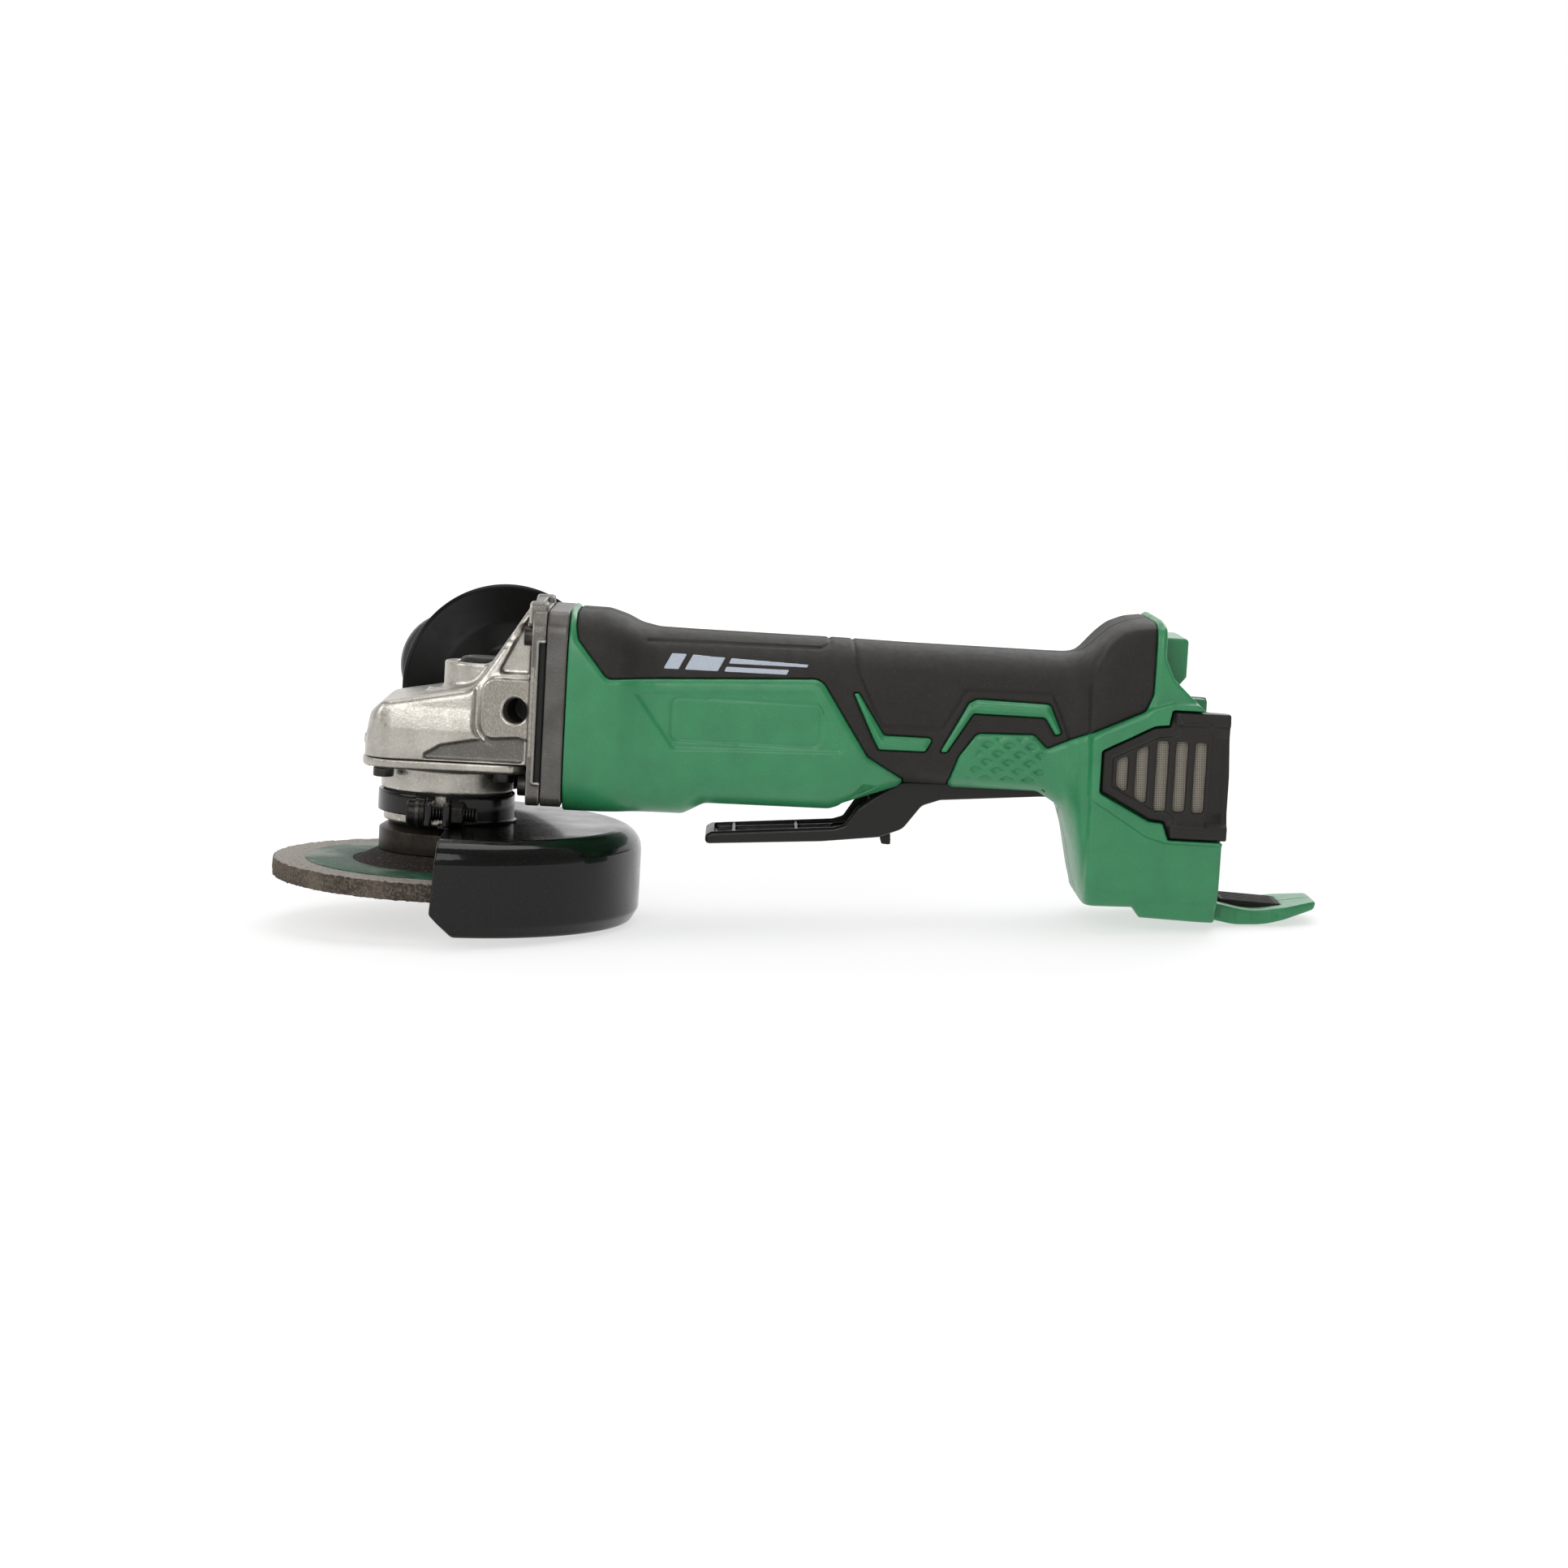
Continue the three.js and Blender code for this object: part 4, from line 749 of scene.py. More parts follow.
def hexagon_nut():
    block = Block((3, CLAMP[0] - 6, CLAMP[1] - 6), (9, CLAMP[0] + 6, CLAMP[1] + 6), 0.16)
    hexagon = outline([
        (CLAMP[0] + 4.6 * math.cos(a), CLAMP[1] + 4.6 * math.sin(a))
        for a in (math.pi * (k / 3 + 1 / 6) for k in range(6))
    ])
    radius = np.hypot(block.y - CLAMP[0], block.z - CLAMP[1])
    nut = both(polygon(hexagon, block.y, block.z), slab(block.x, 3.95, 7.9), 0.15)
    nut = both(nut, (radius - 5.6 + block.x - 6.6) * 0.75, 0.1)
    nut = minus(nut, radius - 2.75, 0.2)
    return skinned("clamp_nut", nut, block, faces=16000)


def wheel():
    """A disc with a raised centre. Small random shifts make it grainy, most of all at its worn rim."""
    t = 6
    profile = rounded([
        (11.2, 4 - t), (22.5, 4 - t), (30, -t), (WHEEL_R, -t), (WHEEL_R, 0), (30, 0), (22.5, 4), (11.2, 4),
        (11.2, 4 - t),
    ], 0.7, 3)
    dense = []
    for (r0, z0), (r1, z1) in zip(profile, profile[1:]):
        steps = max(1, int(math.hypot(r1 - r0, z1 - z0) / 0.9))
        dense += [(r0 + (r1 - r0) * k / steps, z0 + (z1 - z0) * k / steps) for k in range(steps)]
    obj = lathe("grinding_disc", dense, None, 360, 50)
    rng = np.random.default_rng(7)
    mesh = obj.data
    co = np.empty(len(mesh.vertices) * 3, dtype=np.float32)
    mesh.vertices.foreach_get("co", co)
    local = to_tool(co.reshape(-1, 3))
    radius = np.hypot(local[:, 0], local[:, 1])
    rough = 0.05 + 0.07 * band(radius, 56, WHEEL_R)
    local += rng.normal(0, 1, local.shape) * rough[:, None]
    mesh.vertices.foreach_set("co", in_tool(local).astype(np.float32).ravel())
    mesh.update()
    return obj


def wheel_label():
    profile = [(31.0, 0.26), (46.6, 0.26), (46.8, 0.14), (46.6, 0.05), (30.8, 0.05), (30.8, 0.2)]
    return lathe("wheel_label", profile, None, 256, 60)


def inner_flange():
    profile = rounded([
        (7.3, -0.5), (10.9, -0.5), (10.9, 4.3), (22.3, 4.3), (22.3, 11.4), (19, 13.5), (7.3, 13.5),
        (7.3, -0.5),
    ], 0.35, 2)
    return lathe("inner_flange_turned", profile[:-1], None, 128, 30)


def wheel_nut():
    block = Block((-18, -18, -9), (18, 18, -1.5), 0.3)
    nut = block.turned([(7.3, -8.3), (15, -8.3, 0.8), (17, -6.8, 0.8), (17, -2.3), (7.3, -2.3)])
    for side in (-1, 1):
        nut = minus(nut, rod_z(block, 2.5, -9.3, -4.3, x=12 * side), 0.3)
    return skinned("wheel_nut_turned", nut, block, faces=40000)


def spindle():
    profile = [(0, -9.5), (5.6, -9.5), (6.4, -8.8)]
    z = -8.8
    while z < 3:
        profile += [(7.0, z + 0.25), (7.0, z + 0.9), (6.2, z + 1.15), (6.2, z + 1.6)]
        z += 1.8
    profile += [(7, z), (7, 13.8), (8.6, 13.8), (8.6, 20), (6, 20), (6, 33), (5, 33), (5, 49), (4, 49)]
    profile += [(4, 57.2), (3.7, 57.5), (0, 57.5)]
    return lathe("spindle_turned", profile, None, 64, 30)


# ---------- screws and the lock button ----------
def socket_screw(name, place, head_r, head_h, socket_r, shank_r, length):
    """A cap screw along its own -z, with a hexagon socket. Its head's free face is at z = 0."""
    n = 48
    sixth = math.pi / 3
    angles = 2 * math.pi * np.arange(n) / n
    hexagon = socket_r * math.cos(sixth / 2) / np.cos(angles % sixth - sixth / 2)
    floor = -0.62 * head_h
    profile = [
        (0, floor), (0.93 * hexagon, floor), (0.93 * hexagon, -0.25), (hexagon, 0), (head_r - 0.5, 0),
        (head_r - 0.12, -0.14), (head_r, -0.5), (head_r, 0.1 - head_h), (head_r - 0.1, -head_h),
        (shank_r, -head_h), (shank_r, 0.5 - length), (shank_r - 0.5, -length), (0, -length),
    ]
    return lathe(name, profile, place, n, 32)


def lock_button():
    skirt, top = 66.0, 68.4
    profile = rounded([
        (0, skirt + 2.6), (5, skirt + 2.6), (5, skirt), (7.4, skirt), (7.4, top + 0.7), (6.6, top + 1.7),
        (5.2, top + 2.0), (4.6, top + 1.5), (0, top + 1.3),
    ], 0.35, 2)
    return lathe("lock_button_cap", profile, placed(LOCK_X, 0, 0), 96, 35)


# ---------- paddle and switch ----------
LEVER_SIDE = [
    (88, 12.4, 1.6), (88, 15.4, 1), (90, 16.6, 1), (131, 20.2, 2), (134.5, 21.4, 2), (138, 27, 2),
    (143, 31, 2), (152, 37, 2), (156, 37.6), (199, 38.6), (205.5, 39, 3), (204.5, 34.6, 2),
    (166, 31.2, 5), (160, 29, 4), (154, 20.8, 6), (146, 17.6, 4), (127, 15.2, 2),
]
LEVER_TROUGH = [
    (91, 14.9), (91, 30), (120, 45), (197, 45), (197, 41), (194, 35.6), (166, 33.6), (158.5, 31.2, 2),
    (152.5, 23.6, 2), (145.5, 20.2, 2), (127, 17.4),
]
LEVER_RIB = [(92, 14), (92, 16.2), (131, 19.4), (131, 16.4)]
LEVER_WALL = 2.2


def paddle_lever():
    block = Block((86.5, -15.5, 10.5), (208, 15.5, 45), 0.38)
    body = prism_y(LEVER_SIDE, block, -LEVER_HALF, LEVER_HALF, 1.3)
    inside = LEVER_HALF - LEVER_WALL
    body = minus(body, prism_y(LEVER_TROUGH, block, -inside, inside, 0.8, radius=0.8), 0.5)
    for x in (97.5, 118.5):
        floor = 15.2 + (x - 91) * 0.075
        body = either(body, box(block, x - 0.6, x + 0.6, -12.2, 12.2, floor - 1, floor + 1.3, 0.4), 0.4)
    for y in (-5.5, 5.5):
        body = either(body, prism_y(LEVER_RIB, block, y - 0.6, y + 0.6, 0.3), 0.3)
    body = either(body, rod_y(block, 4.4, *LEVER_PIVOT, -LEVER_HALF, LEVER_HALF, 0.5), 0.8)
    body = either(body, box(block, 160, 167, -4, 4, 31.8, 38.4, 0.3), 0.3)
    for y0, y1 in ((-12.6, -4), (4, 12.6)):
        body = either(body, rod_y(block, 3.1, *LOCK_OFF_PIVOT, y0, y1), 0.4)
    body = minus(body, rod_y(block, PIN_HOLE_R, *LEVER_PIVOT, -20, 20))
    body = minus(body, rod_y(block, TAB_HOLE_R, *LOCK_OFF_PIVOT, -11.8, 11.8))
    body = minus(body, box(block, 141.5, 152.5, -3.6, 3.6, 12, 23, 0.5), 0.3)
    body = minus(body, box(block, 195.2, 207, -6.2, 6.2, 33.1, 46))
    return skinned("paddle_moulding", body, block, faces=150000)


def lock_off():
    block = Block((140, -4, 13), (152.5, 4, 35), 0.2)
    side = [
        (147.6, 14.2, 0.6), (150.8, 14, 0.8), (150.6, 16.6), (149.6, 24), (148, 29, 1.5),
        (143.5, 33, 1), (141.5, 31.5, 1), (143, 28, 2), (142.4, 23.4, 2), (145.5, 21, 2),
    ]
    tab = prism_y(side, block, -3, 3, 0.5)
    for i in range(3):
        tab = minus(tab, rod_y(block, 0.35, 150.9 - 0.05 * i, 15.2 + 1.2 * i, -9, 9), 0.1)
    tab = minus(tab, rod_y(block, TAB_HOLE_R, *LOCK_OFF_PIVOT, -5, 5))
    return skinned("lock_off_tab", tab, block, faces=24000)


# ---------- filter covers and rear ----------
SLOTS = [
    [(222.2, 41.6), (222.2, 50), (226, 52.2), (226, 39)],
    [(228.5, 38), (228.5, 53.4), (232.5, 55.9), (232.5, 35.4)],
] + [[(x, 33.8), (x, 57.2), (x + 4, 57.2), (x + 4, 33.8)] for x in (235.1, 241.4, 247.7)]
SEAT = [(219.8, 39), (219.8, 51.6), (234, 59), (254.5, 59), (254.5, 31.8), (234, 31.8)]


def filter_mesh(side):
    """The woven dust screen behind the slots, slightly quilted between the cover's bars."""
    block = Block((218.5, -33.2, 30.5), (255.8, -30.6, 60.2), 0.2)
    quilt = 0.22 * np.cos(2 * math.pi * (block.x - 237.1) / 6.3)
    screen = both(block.side(SEAT, 1) + 0.25, slab(block.y + quilt, -32.4, -31.4), 0.2)
    return mirrored("filter_screen_{}", screen, block, side, 40000)


def filter_cover(side):
    block = Block((215.5, -36.6, 23), (261.5, -29.5, 69.5), 0.3)
    edge = block.side(COVER) + 0.3
    height = np.abs(block.z - 46.2)
    facet = 2.2 * band(block.x, 253.4, 257.8) * (1 - band(height, 12.5, 17.5))
    lugs = 1.1 * band(block.x, 240.2, 241.4) * band(height, 15.6, 16.8)
    panel = 0.6 * ramp(edge + 3.0, 0.8) * (1 - band(block.x, 252.2, 253.0))
    top = -34.3 + facet - lugs - panel
    cover = both(edge, slab(block.y, -40, -30.5), 0.5)
    cover = both(cover, top - block.y, 0.9)
    cover = both(cover, block.x - REAR_X - 1.2 + 0.05 * (block.z - 46).clip(0, None), 0.5)
    for slot in SLOTS:
        cover = minus(cover, prism_y(slot, block, -40, -20, radius=0.9), 0.45)
    cover = minus(cover, prism_y(SEAT, block, -32.2, -20))
    return mirrored("filter_frame_{}", cover, block, side, 90000)


# ---------- side handle ----------
def side_handle():
    profile = rounded([
        (0, 60), (4.4, 60), (4.4, 0.3), (11.5, 0.3), (12.5, 12), (15.5, 22), (24, 28), (35.4, 31.3),
        (36.7, 32.5), (36.3, 34.4), (25, 35.2), (19.5, 38), (16, 48), (15.8, 52), (17.4, 72), (17.4, 96),
        (17.6, 112), (20, 122), (19.4, 128.4), (14, 132.4), (0, 133),
    ], 1.4, 5)
    return lathe("side_handle_moulding", profile, handle_place(), 144, 35)


# ---------- materials ----------
def linear(rgb):
    """An sRGB colour, 0 to 255, as Blender's linear values."""
    def one(c):
        c /= 255
        return c / 12.92 if c <= 0.04045 else ((c + 0.055) / 1.055) ** 2.4
    return tuple(one(c) for c in rgb)


def feed(tree, socket, value):
    """Links value to the socket if it is another socket, or else sets it as a constant."""
    if isinstance(value, bpy.types.NodeSocket):
        tree.links.new(value, socket)
    else:
        socket.default_value = value


def add_node(tree, kind, inputs=None, **settings):
    node = tree.nodes.new(kind)
    for key, value in settings.items():
        setattr(node, key, value)
    for key, value in (inputs or {}).items():
        feed(tree, node.inputs[key], value)
    return node


class Finish:
    """A Principled material with small builders for its uneven inputs. Sizes are in millimetres."""

    def __init__(self, name, rgb, roughness, metallic=0.0, coat=0.0, specular=0.5):
        self.material = bpy.data.materials.new(name)
        self.material.use_nodes = True
        self.tree = self.material.node_tree
        self.shader = self.tree.nodes["Principled BSDF"]
        self.coords = self.node("ShaderNodeTexCoord").outputs["Object"]
        self.colour = (*linear(rgb), 1)
        self.roughness = roughness
        self.normal = None
        self.drive("Base Color", self.colour)
        self.drive("Roughness", roughness)
        self.drive("Metallic", metallic)
        self.drive("Coat Weight", coat)
        self.drive("Coat Roughness", 0.08)
        self.drive("Specular IOR Level", specular)

    def node(self, kind, inputs=None, **settings):
        return add_node(self.tree, kind, inputs, **settings)

    def drive(self, name, value):
        feed(self.tree, self.shader.inputs[name], value)
        return self

    def noise(self, size, detail=4.0, stretch=(1, 1, 1), rough=0.55):
        mapping = self.node("ShaderNodeMapping", {"Vector": self.coords, "Scale": stretch})
        inputs = {"Vector": mapping.outputs["Vector"], "Scale": 1000 / size, "Detail": detail,
                  "Roughness": rough}
        return self.node("ShaderNodeTexNoise", inputs).outputs["Fac"]

    def cells(self, size):
        return self.node("ShaderNodeTexVoronoi", {"Vector": self.coords, "Scale": 1000 / size}).outputs

    def stripes(self, scale, direction):
        inputs = {"Vector": self.coords, "Scale": scale}
        return self.node("ShaderNodeTexWave", inputs, wave_type="BANDS",
                         bands_direction=direction).outputs["Fac"]

    def ramped(self, value, low, high, out_low=0.0, out_high=1.0):
        inputs = {"Value": value, "From Min": low, "From Max": high, "To Min": out_low, "To Max": out_high}
        return self.node("ShaderNodeMapRange", inputs).outputs["Result"]

    def tint(self, value, rgb, amount):
        """Mixes another colour in where value is high."""
        share = self.node("ShaderNodeMath", {0: value, 1: amount}, operation="MULTIPLY")
        inputs = {"Factor": share.outputs[0], "A": self.colour, "B": (*linear(rgb), 1)}
        self.colour = self.node("ShaderNodeMix", inputs, data_type="RGBA").outputs["Result"]
        return self.drive("Base Color", self.colour)

    def patches(self, size, detail, low, high, rgb, amount, stretch=(1, 1, 1)):
        """Patches of another colour, where noise of that size rises from low to high."""
        return self.tint(self.ramped(self.noise(size, detail, stretch), low, high), rgb, amount)

    def pale_edges(self, rgb, amount, low=0.53, high=0.6):
        """Paler colour on the edges, where the mesh bends outwards."""
        bend = self.node("ShaderNodeNewGeometry").outputs["Pointiness"]
        return self.tint(self.ramped(bend, low, high), rgb, amount)

    def vary_roughness(self, size, detail, spread):
        ends = (self.roughness - spread, self.roughness + spread)
        return self.drive("Roughness", self.ramped(self.noise(size, detail), 0.3, 0.7, *ends))

    def bump(self, value, height):
        """Raises the surface by height millimetres where value is 1."""
        inputs = {"Height": value, "Distance": height / 1000}
        if self.normal:
            inputs["Normal"] = self.normal
        self.normal = self.node("ShaderNodeBump", inputs).outputs["Normal"]
        return self.drive("Normal", self.normal)

    def relief(self, size, detail, height, stretch=(1, 1, 1), rough=0.55):
        return self.bump(self.noise(size, detail, stretch, rough), height)


def moulded(name, rgb, roughness, grain, height, speck, speck_amount, specular):
    """Injection-moulded plastic with spark-eroded grain, faint mottling and pale specks."""
    look = Finish(name, rgb, roughness, specular=specular)
    look.patches(9, 3, 0.35, 0.7, tuple(c * 0.86 for c in rgb), 0.5)
    look.patches(0.5, 2, 0.58, 0.75, speck, speck_amount)
    look.vary_roughness(3, 4, 0.05)
    return look.relief(grain, 3, height, rough=0.6)


def laminated_core():
    look = Finish("laminated_core", (92, 84, 78), 0.45, metallic=0.8)
    look.tint(look.stripes(320, "X"), (52, 46, 42), 0.6)
    return look.patches(5, 3, 0.5, 0.7, (176, 104, 58), 0.5)


def bonded_abrasive():
    look = Finish("bonded_abrasive", (60, 54, 47), 0.93, specular=0.2)
    grains = look.cells(0.75)
    look.tint(look.ramped(grains["Color"], 0.35, 0.9), (122, 115, 104), 0.5)
    look.patches(0.5, 3, 0.55, 0.66, (70, 58, 50), 0.75)
    look.patches(16, 3, 0.45, 0.68, (112, 102, 91), 0.5)
    look.bump(grains["Distance"], 0.25)
    return look.relief(0.4, 4, 0.12)


def glass_weave():
    look = Finish("glass_weave", (140, 134, 124), 0.6)
    look.patches(0.9, 4, 0.45, 0.62, (70, 64, 56), 0.6)
    look.patches(0.5, 3, 0.6, 0.7, (196, 192, 182), 0.6)
    look.bump(look.cells(1.4)["Distance"], 0.12)
    return look.relief(0.4, 3, 0.08)


def filter_weave():
    """Two sets of threads that cross, with dust on them."""
    look = Finish("filter_weave", (150, 145, 133), 0.8)
    threads = {0: look.stripes(420, "X"), 1: look.stripes(420, "Z")}
    weave = look.node("ShaderNodeMath", threads, operation="MAXIMUM").outputs[0]
    look.tint(look.ramped(weave, 0.5, 1.0, 1.0, 0.0), (88, 82, 72), 0.75)
    look.patches(4, 3, 0.4, 0.7, (134, 128, 114), 0.5)
    return look.bump(weave, 0.12)


LOOKS = {
    "green": moulded("green_plastic", (46, 128, 82), 0.36, 0.45, 0.02, (120, 190, 140), 0.14, 0.48),
    "grip": moulded("grip_elastomer", (37, 35, 32), 0.62, 0.30, 0.035, (110, 104, 98), 0.10, 0.25),
    "satin": moulded("satin_black_plastic", (24, 23, 21), 0.33, 0.5, 0.010, (80, 76, 72), 0.05, 0.3),
    "matte": moulded("matte_black_plastic", (31, 29, 27), 0.46, 0.30, 0.03, (96, 92, 86), 0.10, 0.3),
    "smooth": moulded("smooth_black_plastic", (9, 9, 8), 0.34, 0.8, 0.006, (60, 56, 52), 0.04, 0.14),
    "pad": moulded("foot_rubber", (34, 32, 30), 0.68, 0.3, 0.03, (90, 84, 80), 0.08, 0.25),

    "guard": Finish("guard_enamel", (6, 6, 5), 0.26, coat=0.42, specular=0.1)
    .vary_roughness(14, 4, 0.07)
    .patches(0.35, 2, 0.66, 0.72, (96, 96, 94), 0.35)
    .relief(3.2, 2, 0.02)
    .relief(0.7, 2, 0.004),

    "cast": Finish("cast_aluminium", (184, 180, 172), 0.35, metallic=0.94)
    .patches(13, 4, 0.4, 0.72, (128, 121, 112), 0.55)
    .patches(0.6, 3, 0.56, 0.68, (215, 210, 202), 0.45)
    .patches(0.4, 2, 0.62, 0.7, (92, 84, 76), 0.4)
    .pale_edges((225, 222, 215), 0.6)
    .vary_roughness(1.1, 4, 0.10)
    .relief(0.75, 4, 0.05)
    .relief(6, 3, 0.06),

    # A darker copy of the cast aluminium: painted shade on the flange and on the pocket walls under the
    # milled faces.
    "flank": Finish("cast_painted_shade", (106, 103, 98), 0.46, metallic=0.85)
    .patches(0.5, 3, 0.55, 0.7, (176, 172, 166), 0.4)
    .patches(9, 3, 0.4, 0.7, (92, 90, 86), 0.5)
    .pale_edges((214, 210, 204), 0.7, 0.52, 0.57)
    .relief(0.7, 4, 0.05),

    "milled": Finish("milled_aluminium", (144, 139, 130), 0.36, metallic=0.95)
    .patches(1.2, 3, 0.42, 0.62, (196, 190, 180), 0.5, (4, 4, 1.2))
    .patches(0.8, 2, 0.5, 0.7, (112, 106, 98), 0.5, (1, 1, 5))
    .relief(0.7, 3, 0.03, (1, 1, 7)),

    "plate": Finish("dark_casting", (96, 94, 90), 0.42, metallic=0.7)
    .patches(0.5, 3, 0.55, 0.7, (150, 147, 142), 0.35)
    .patches(11, 3, 0.4, 0.7, (60, 58, 56), 0.5)
    .pale_edges((140, 138, 134), 0.4)
    .relief(0.7, 4, 0.035),

    "steel": Finish("ground_steel", (186, 186, 184), 0.28, metallic=1.0)
    .patches(2, 4, 0.4, 0.7, (140, 138, 134), 0.5)
    .relief(0.4, 3, 0.006, (1, 8, 1)),

    "black_steel": Finish("black_oxide_steel", (30, 29, 27), 0.34, metallic=0.8)
    .patches(0.9, 4, 0.52, 0.75, (70, 66, 60), 0.5)
    .pale_edges((128, 124, 118), 0.5, 0.54, 0.62)
    .relief(0.5, 3, 0.01),

    "flange": Finish("flange_steel", (50, 44, 39), 0.38, metallic=0.85)
    .patches(1.6, 5, 0.42, 0.72, (30, 25, 22), 0.75)
    .pale_edges((150, 140, 128), 0.6)
    .relief(0.35, 3, 0.012, (1, 1, 9)),

    "brass": Finish("brass", (196, 160, 84), 0.3, metallic=1.0)
    .patches(1.5, 4, 0.45, 0.7, (140, 108, 56), 0.5)
    .relief(0.3, 3, 0.006),

    "hub": Finish("wheel_hub", (38, 33, 29), 0.85, specular=0.3)
    .patches(0.9, 4, 0.52, 0.7, (96, 86, 76), 0.6)
    .patches(5, 3, 0.45, 0.7, (30, 26, 24), 0.6)
    .relief(0.7, 4, 0.12),

    "label": Finish("wheel_label_paper", (20, 70, 48), 0.5, specular=0.25)
    .patches(0.8, 5, 0.5, 0.72, (120, 134, 122), 0.6)
    .patches(4, 4, 0.5, 0.66, (20, 50, 38), 0.6)
    .patches(26, 5, 0.47, 0.62, (136, 138, 126), 0.7)
    .relief(0.6, 3, 0.02),

    "stripe": Finish("printed_stripe", (168, 176, 188), 0.5)
    .patches(0.4, 3, 0.5, 0.7, (120, 126, 136), 0.5)
    .relief(0.35, 3, 0.01),

    "core": laminated_core(),
    "grit": bonded_abrasive(),
    "weave": glass_weave(),
    "mesh": filter_weave(),
}
MAT = {name: look.material for name, look in LOOKS.items()}


# ---------- assembly ----------
def regional(obj, *regions):
    """Further materials on the faces that each region's test picks by tool-frame centre and normal."""
    mesh = obj.data
    count = len(mesh.polygons)
    centres = np.empty(count * 3, dtype=np.float32)
    normals = np.empty(count * 3, dtype=np.float32)
    mesh.polygons.foreach_get("center", centres)
    mesh.polygons.foreach_get("normal", normals)
    turn = np.array(TOOL.inverted().to_quaternion().to_matrix())
    places = to_tool(centres.reshape(-1, 3))
    facing = normals.reshape(-1, 3) @ turn.T
    index = np.zeros(count, dtype=np.int32)
    for i, (material, choose) in enumerate(regions):
        mesh.materials.append(MAT[material])
        index[choose(places, facing)] = i + 1
    mesh.polygons.foreach_set("material_index", index)


def build_housing():
    for side, name in ((-1, "left"), (1, "right")):
        cover_body = f"filter_{name}"
        finish_piece(housing_half(side), "green", "tool", "green_plastic", f"housing_{name}")
        finish_piece(grip_half(side), "grip", "tool", "elastomer", f"grip_overmould_{name}")
        finish_piece(filter_cover(side), "matte", cover_body, "black_plastic", f"filter_cover_{name}")
        finish_piece(filter_mesh(side), "mesh", cover_body, "mesh_grey", f"filter_mesh_{name}")
    finish_piece(foot_pad(), "pad", "tool", "elastomer", "foot_pad")


def from_handle(places, side):
    """Distance from a handle hole's axis, distance along it, and the axis, which points outwards."""
    axis = np.array([-math.sin(HANDLE_LEAN), side * math.cos(HANDLE_LEAN), 0])
    offset = places - np.array([HANDLE[0], side * HANDLE[1], HANDLE[2]])
    along = offset @ axis
    return np.linalg.norm(offset - along[:, None] * axis, axis=1), along, axis


def milled_faces(places, normals):
    out = np.zeros(len(places), dtype=bool)
    for side in (-1, 1):
        radius, along, axis = from_handle(places, side)
        out |= (radius < 16) & (along > -0.25) & (normals @ axis > 0.97)
    return out


def painted_shade_inside(places, normals):
    """Painted shade: matte black inside the slots at the flange and on the bottoms of the handle holes."""
    x, y, z = places.T
    out = (x > 30.5) & (np.abs(z - 55) < 23.2) & (np.abs(y) > 27.2) & (np.abs(y) < 29.6)
    for side in (-1, 1):
        radius, along, _ = from_handle(places, side)
        out |= (radius < 4.6) & (along < -4.4)
    return out


def painted_shade_casting(places, normals):
    """Painted shade: the flange and the walls of the pockets under the milled faces, in a darker copy of
    the cast finish.
    """
    x, y, z = places.T
    under_pad = (np.abs(y) > 24.6) & (np.abs(y) < 25.8) & (z > 37.2) & (z < 46) & (x > -8)
    return (x > FLANGE_X - 1.4) | (under_pad & (np.abs(normals[:, 1]) > 0.6))


# Painted shade: matte black on the motor plate's front face where it shows through the flange slots.
def plate_slot_painted_shade(places, normals):
    return (places[:, 0] < SEAM_X + 0.4) & (np.abs(places[:, 2] - 55) < 23)


def build_gear_end():
    case = finish_piece(gear_case(), "cast", "tool", "cast_metal", "gear_case")
    # The flank finish is painted shade on the flange and pocket walls; the matte black inside the slots
    # and hole bottoms is painted shade too.
    regional(case, ("flank", painted_shade_casting), ("milled", milled_faces), ("matte", painted_shade_inside))
    finish_piece(bearing_holder(), "cast", "tool", "cast_metal", "bearing_holder")
    plate = finish_piece(motor_plate(), "plate", "tool", "dark_cast", "motor_plate")
    regional(plate, ("matte", plate_slot_painted_shade))
    finish_piece(lock_button(), "matte", "lock", "black_plastic", "lock_button")
    for i, (x, y) in enumerate(HOLDER_SCREWS, 1):
        place = placed(x, y, PLATE_LOW - 3.2, "-Z")
        screw = socket_screw(f"holder_cap_screw_{i}", place, 3.45, 2.9, 1.7, 2.0, 16.6)
        finish_piece(screw, "black_steel", "tool", "black_steel", f"holder_screw_{i}")
    for i, (y, z) in enumerate(CASE_SCREWS, 1):
        place = placed(FLANGE_X - 3.5, y, z, "-X")
        screw = socket_screw(f"case_cap_screw_{i}", place, 3.3, 3.2, 1.6, 2.0, 26)
        finish_piece(screw, "black_steel", "tool", "black_steel", f"case_screw_{i}")


def wheel_face(places, normals):
    return np.abs(normals[:, 2]) > 0.9


def wheel_centre(places, normals):
    return (np.hypot(places[:, 0], places[:, 1]) < 31.0) & (places[:, 2] > -1.5)


def build_wheel_end():
    finish_piece(guard(), "guard", "guard_set", "guard_black", "guard")
    finish_piece(clamp_screw(), "black_steel", "guard_set", "black_steel", "guard_clamp_screw")
    finish_piece(hexagon_nut(), "black_steel", "guard_set", "black_steel", "guard_clamp_nut")
    disc = finish_piece(wheel(), "grit", "spindle_set", "abrasive", "grinding_wheel")
    regional(disc, ("weave", wheel_face), ("hub", wheel_centre))
    finish_piece(wheel_label(), "label", "spindle_set", "abrasive")
    finish_piece(inner_flange(), "flange", "spindle_set", "black_steel", "inner_flange")
    finish_piece(wheel_nut(), "black_steel", "spindle_set", "black_steel", "wheel_nut")
    finish_piece(spindle(), "steel", "spindle_set", "steel", "spindle")


def build_controls():
    finish_piece(paddle_lever(), "satin", "paddle", "black_plastic", "paddle_lever")
    finish_piece(lock_off(), "satin", "lock_off", "black_plastic", "lock_off_lever")
    finish_piece(side_handle(), "smooth", "tool", "black_plastic", "side_handle_grip")


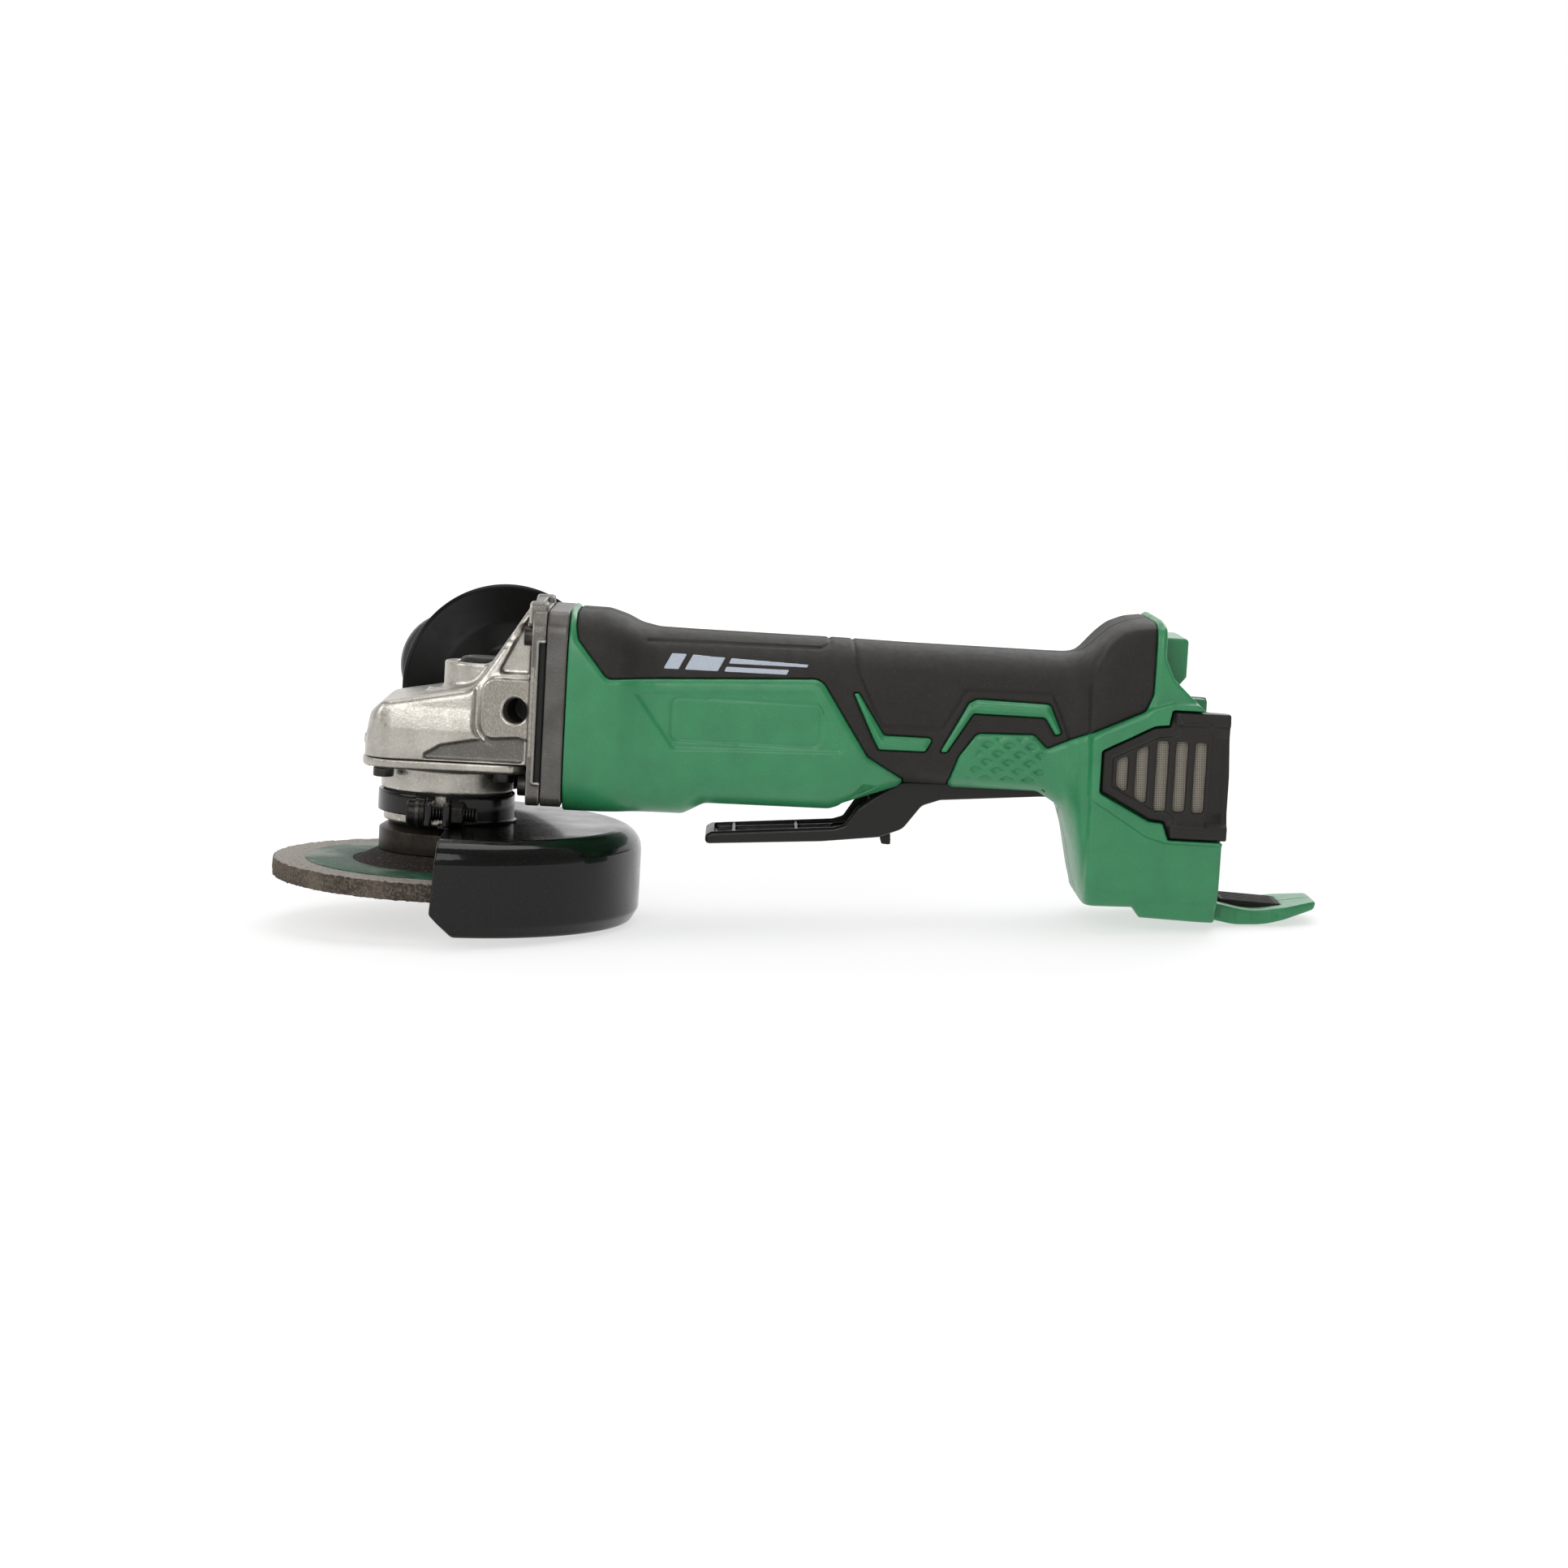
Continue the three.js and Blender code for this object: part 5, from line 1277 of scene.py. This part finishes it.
CARRIED = {
    "steel": ["spindle_bearing", "ring_gear", "pinion", "lock_pin", "lock_spring", "rotor_shaft",
              "front_bearing", "rear_bearing", "lever_pin", "lever_spring", "lock_off_pin",
              "side_handle_stud"],
    "black_steel": [f"housing_screw_{i}" for i in range(1, 5)],
    "brass": ["spindle_bush"] + [f"terminal_blade_{i}" for i in range(1, 5)],
    "core": ["stator", "rotor_core"],
    "satin": ["cooling_fan", "switch_body", "switch_plunger", "controller"],
    "matte": ["battery_plate"],
}


def finish_carried_nodes():
    """Better materials, and softened edges, for the CAD solids that stay as they are."""
    for material, names in CARRIED.items():
        for name in names:
            for slot in NODES[name].material_slots:
                slot.material = MAT[material]
    for name in ("battery_plate", "controller", "switch_body"):
        bevel = NODES[name].modifiers.new("edges", "BEVEL")
        bevel.width = 0.0004
        bevel.segments = 2
        bevel.limit_method = "ANGLE"


def printed_stripes():
    """A plain stripe graphic on the soft grip's left side, in place of the printed word."""
    bars = [
        [(74, 76.6), (79, 76.6), (76.4, 71.6), (71.4, 71.6)],
        [(81, 76.6), (92, 76.6), (89.4, 71.6), (78.4, 71.6)],
        [(94, 76.6), (120, 76.6), (118.8, 74.2), (92.8, 74.2)],
        [(92.2, 73.2), (113, 73.2), (112.2, 71.6), (91.4, 71.6)],
    ]
    block = Block((70, -32, 70.5), (122, -24, 77.5), 0.16)
    skin = skin_field(block)
    for i, bar in enumerate(bars, 1):
        film = both(both(skin - 0.08, -(skin + 0.4)), block.side(bar, 0.3))
        piece = skinned(f"printed_stripe_{i}", film, block, faces=9000)
        finish_piece(piece, "stripe", "tool", "mesh_grey")


build_housing()
build_gear_end()
build_wheel_end()
build_controls()
finish_carried_nodes()
printed_stripes()


# ---------- studio ----------
def glowing_table():
    """A white table that glows faintly, as a light table does."""
    edge = 6
    corners = [(-edge, -edge, 0), (edge, -edge, 0), (edge, edge, 0), (-edge, edge, 0)]
    plane = plain_object("floor", corners, [(0, 1, 2, 3)])
    plane.location.z = -0.0006
    white = Finish("studio_floor", (160, 160, 160), 0.8, specular=0.1)
    distance = white.node("ShaderNodeVectorMath", {0: white.coords}, operation="LENGTH").outputs["Value"]
    white.drive("Emission Color", (1, 1, 1, 1))
    white.drive("Emission Strength", white.ramped(distance, 0.25, 1.6, 0.62, 0.95))
    plane.data.materials.append(white.material)


def white_room():
    """The lit backdrop stands behind the object, so the room is brighter towards +Y."""
    world = bpy.data.worlds.new("studio")
    bpy.context.scene.world = world
    world.use_nodes = True
    tree = world.node_tree
    direction = add_node(tree, "ShaderNodeTexCoord").outputs["Generated"]
    split = add_node(tree, "ShaderNodeSeparateXYZ", {"Vector": direction})
    light = add_node(tree, "ShaderNodeMapRange", {"Value": split.outputs["Y"], "From Min": 0.1,
                                                 "From Max": 0.8, "To Min": 0.3, "To Max": 1.1})
    room = tree.nodes["Background"]
    feed(tree, room.inputs["Color"], (1, 1, 1, 1))
    feed(tree, room.inputs["Strength"], light.outputs["Result"])
    backdrop = add_node(tree, "ShaderNodeBackground", {"Color": (1, 1, 1, 1)})
    seen = add_node(tree, "ShaderNodeLightPath").outputs["Is Camera Ray"]
    mix = add_node(tree, "ShaderNodeMixShader", {"Fac": seen, 1: room.outputs["Background"],
                                                 2: backdrop.outputs["Background"]})
    feed(tree, tree.nodes["World Output"].inputs["Surface"], mix.outputs["Shader"])


# Name, offset from the object in metres, diameter in metres, power in watts.
LAMPS = [
    ("front", (-0.25, -1.4, 0.75), 1.1, 9), ("nose", (-1.2, -0.5, 0.6), 0.8, 5),
    ("top", (0.1, 0.1, 1.3), 1.1, 8), ("back", (0.5, 1.0, 0.7), 0.8, 4),
]


def soft_lamps():
    low, high = CAD_BOX
    centre = Vector(((low[0] + high[0]) / 2, (low[1] + high[1]) / 2, 0.06))
    for name, offset, size, power in LAMPS:
        data = bpy.data.lights.new(name, "AREA")
        data.shape = "DISK"
        data.size = size
        data.energy = power
        lamp = new_object(name, data)
        lamp.location = centre + Vector(offset)
        lamp.rotation_euler = (-Vector(offset)).to_track_quat("-Z", "Y").to_euler()
        lamp.visible_camera = False


def camera():
    """The fitted camera: nearly square on to the left side, looking down a little."""
    azimuth, elevation = math.radians(-0.587), math.radians(6.301)
    distance = 1.2313
    target = Vector((-0.00288, -0.04602, 0.04595))
    level = math.cos(elevation)
    back = Vector((math.sin(azimuth) * level, -math.cos(azimuth) * level, math.sin(elevation)))
    data = bpy.data.cameras.new("camera")
    data.sensor_width = 36
    data.lens = 83.5
    data.clip_start = 0.01
    view = new_object("camera", data)
    view.location = target + back * distance
    view.rotation_euler = back.to_track_quat("Z", "Y").to_euler()
    bpy.context.scene.camera = view


glowing_table()
white_room()
soft_lamps()
camera()
bpy.context.scene.view_settings.view_transform = "Standard"
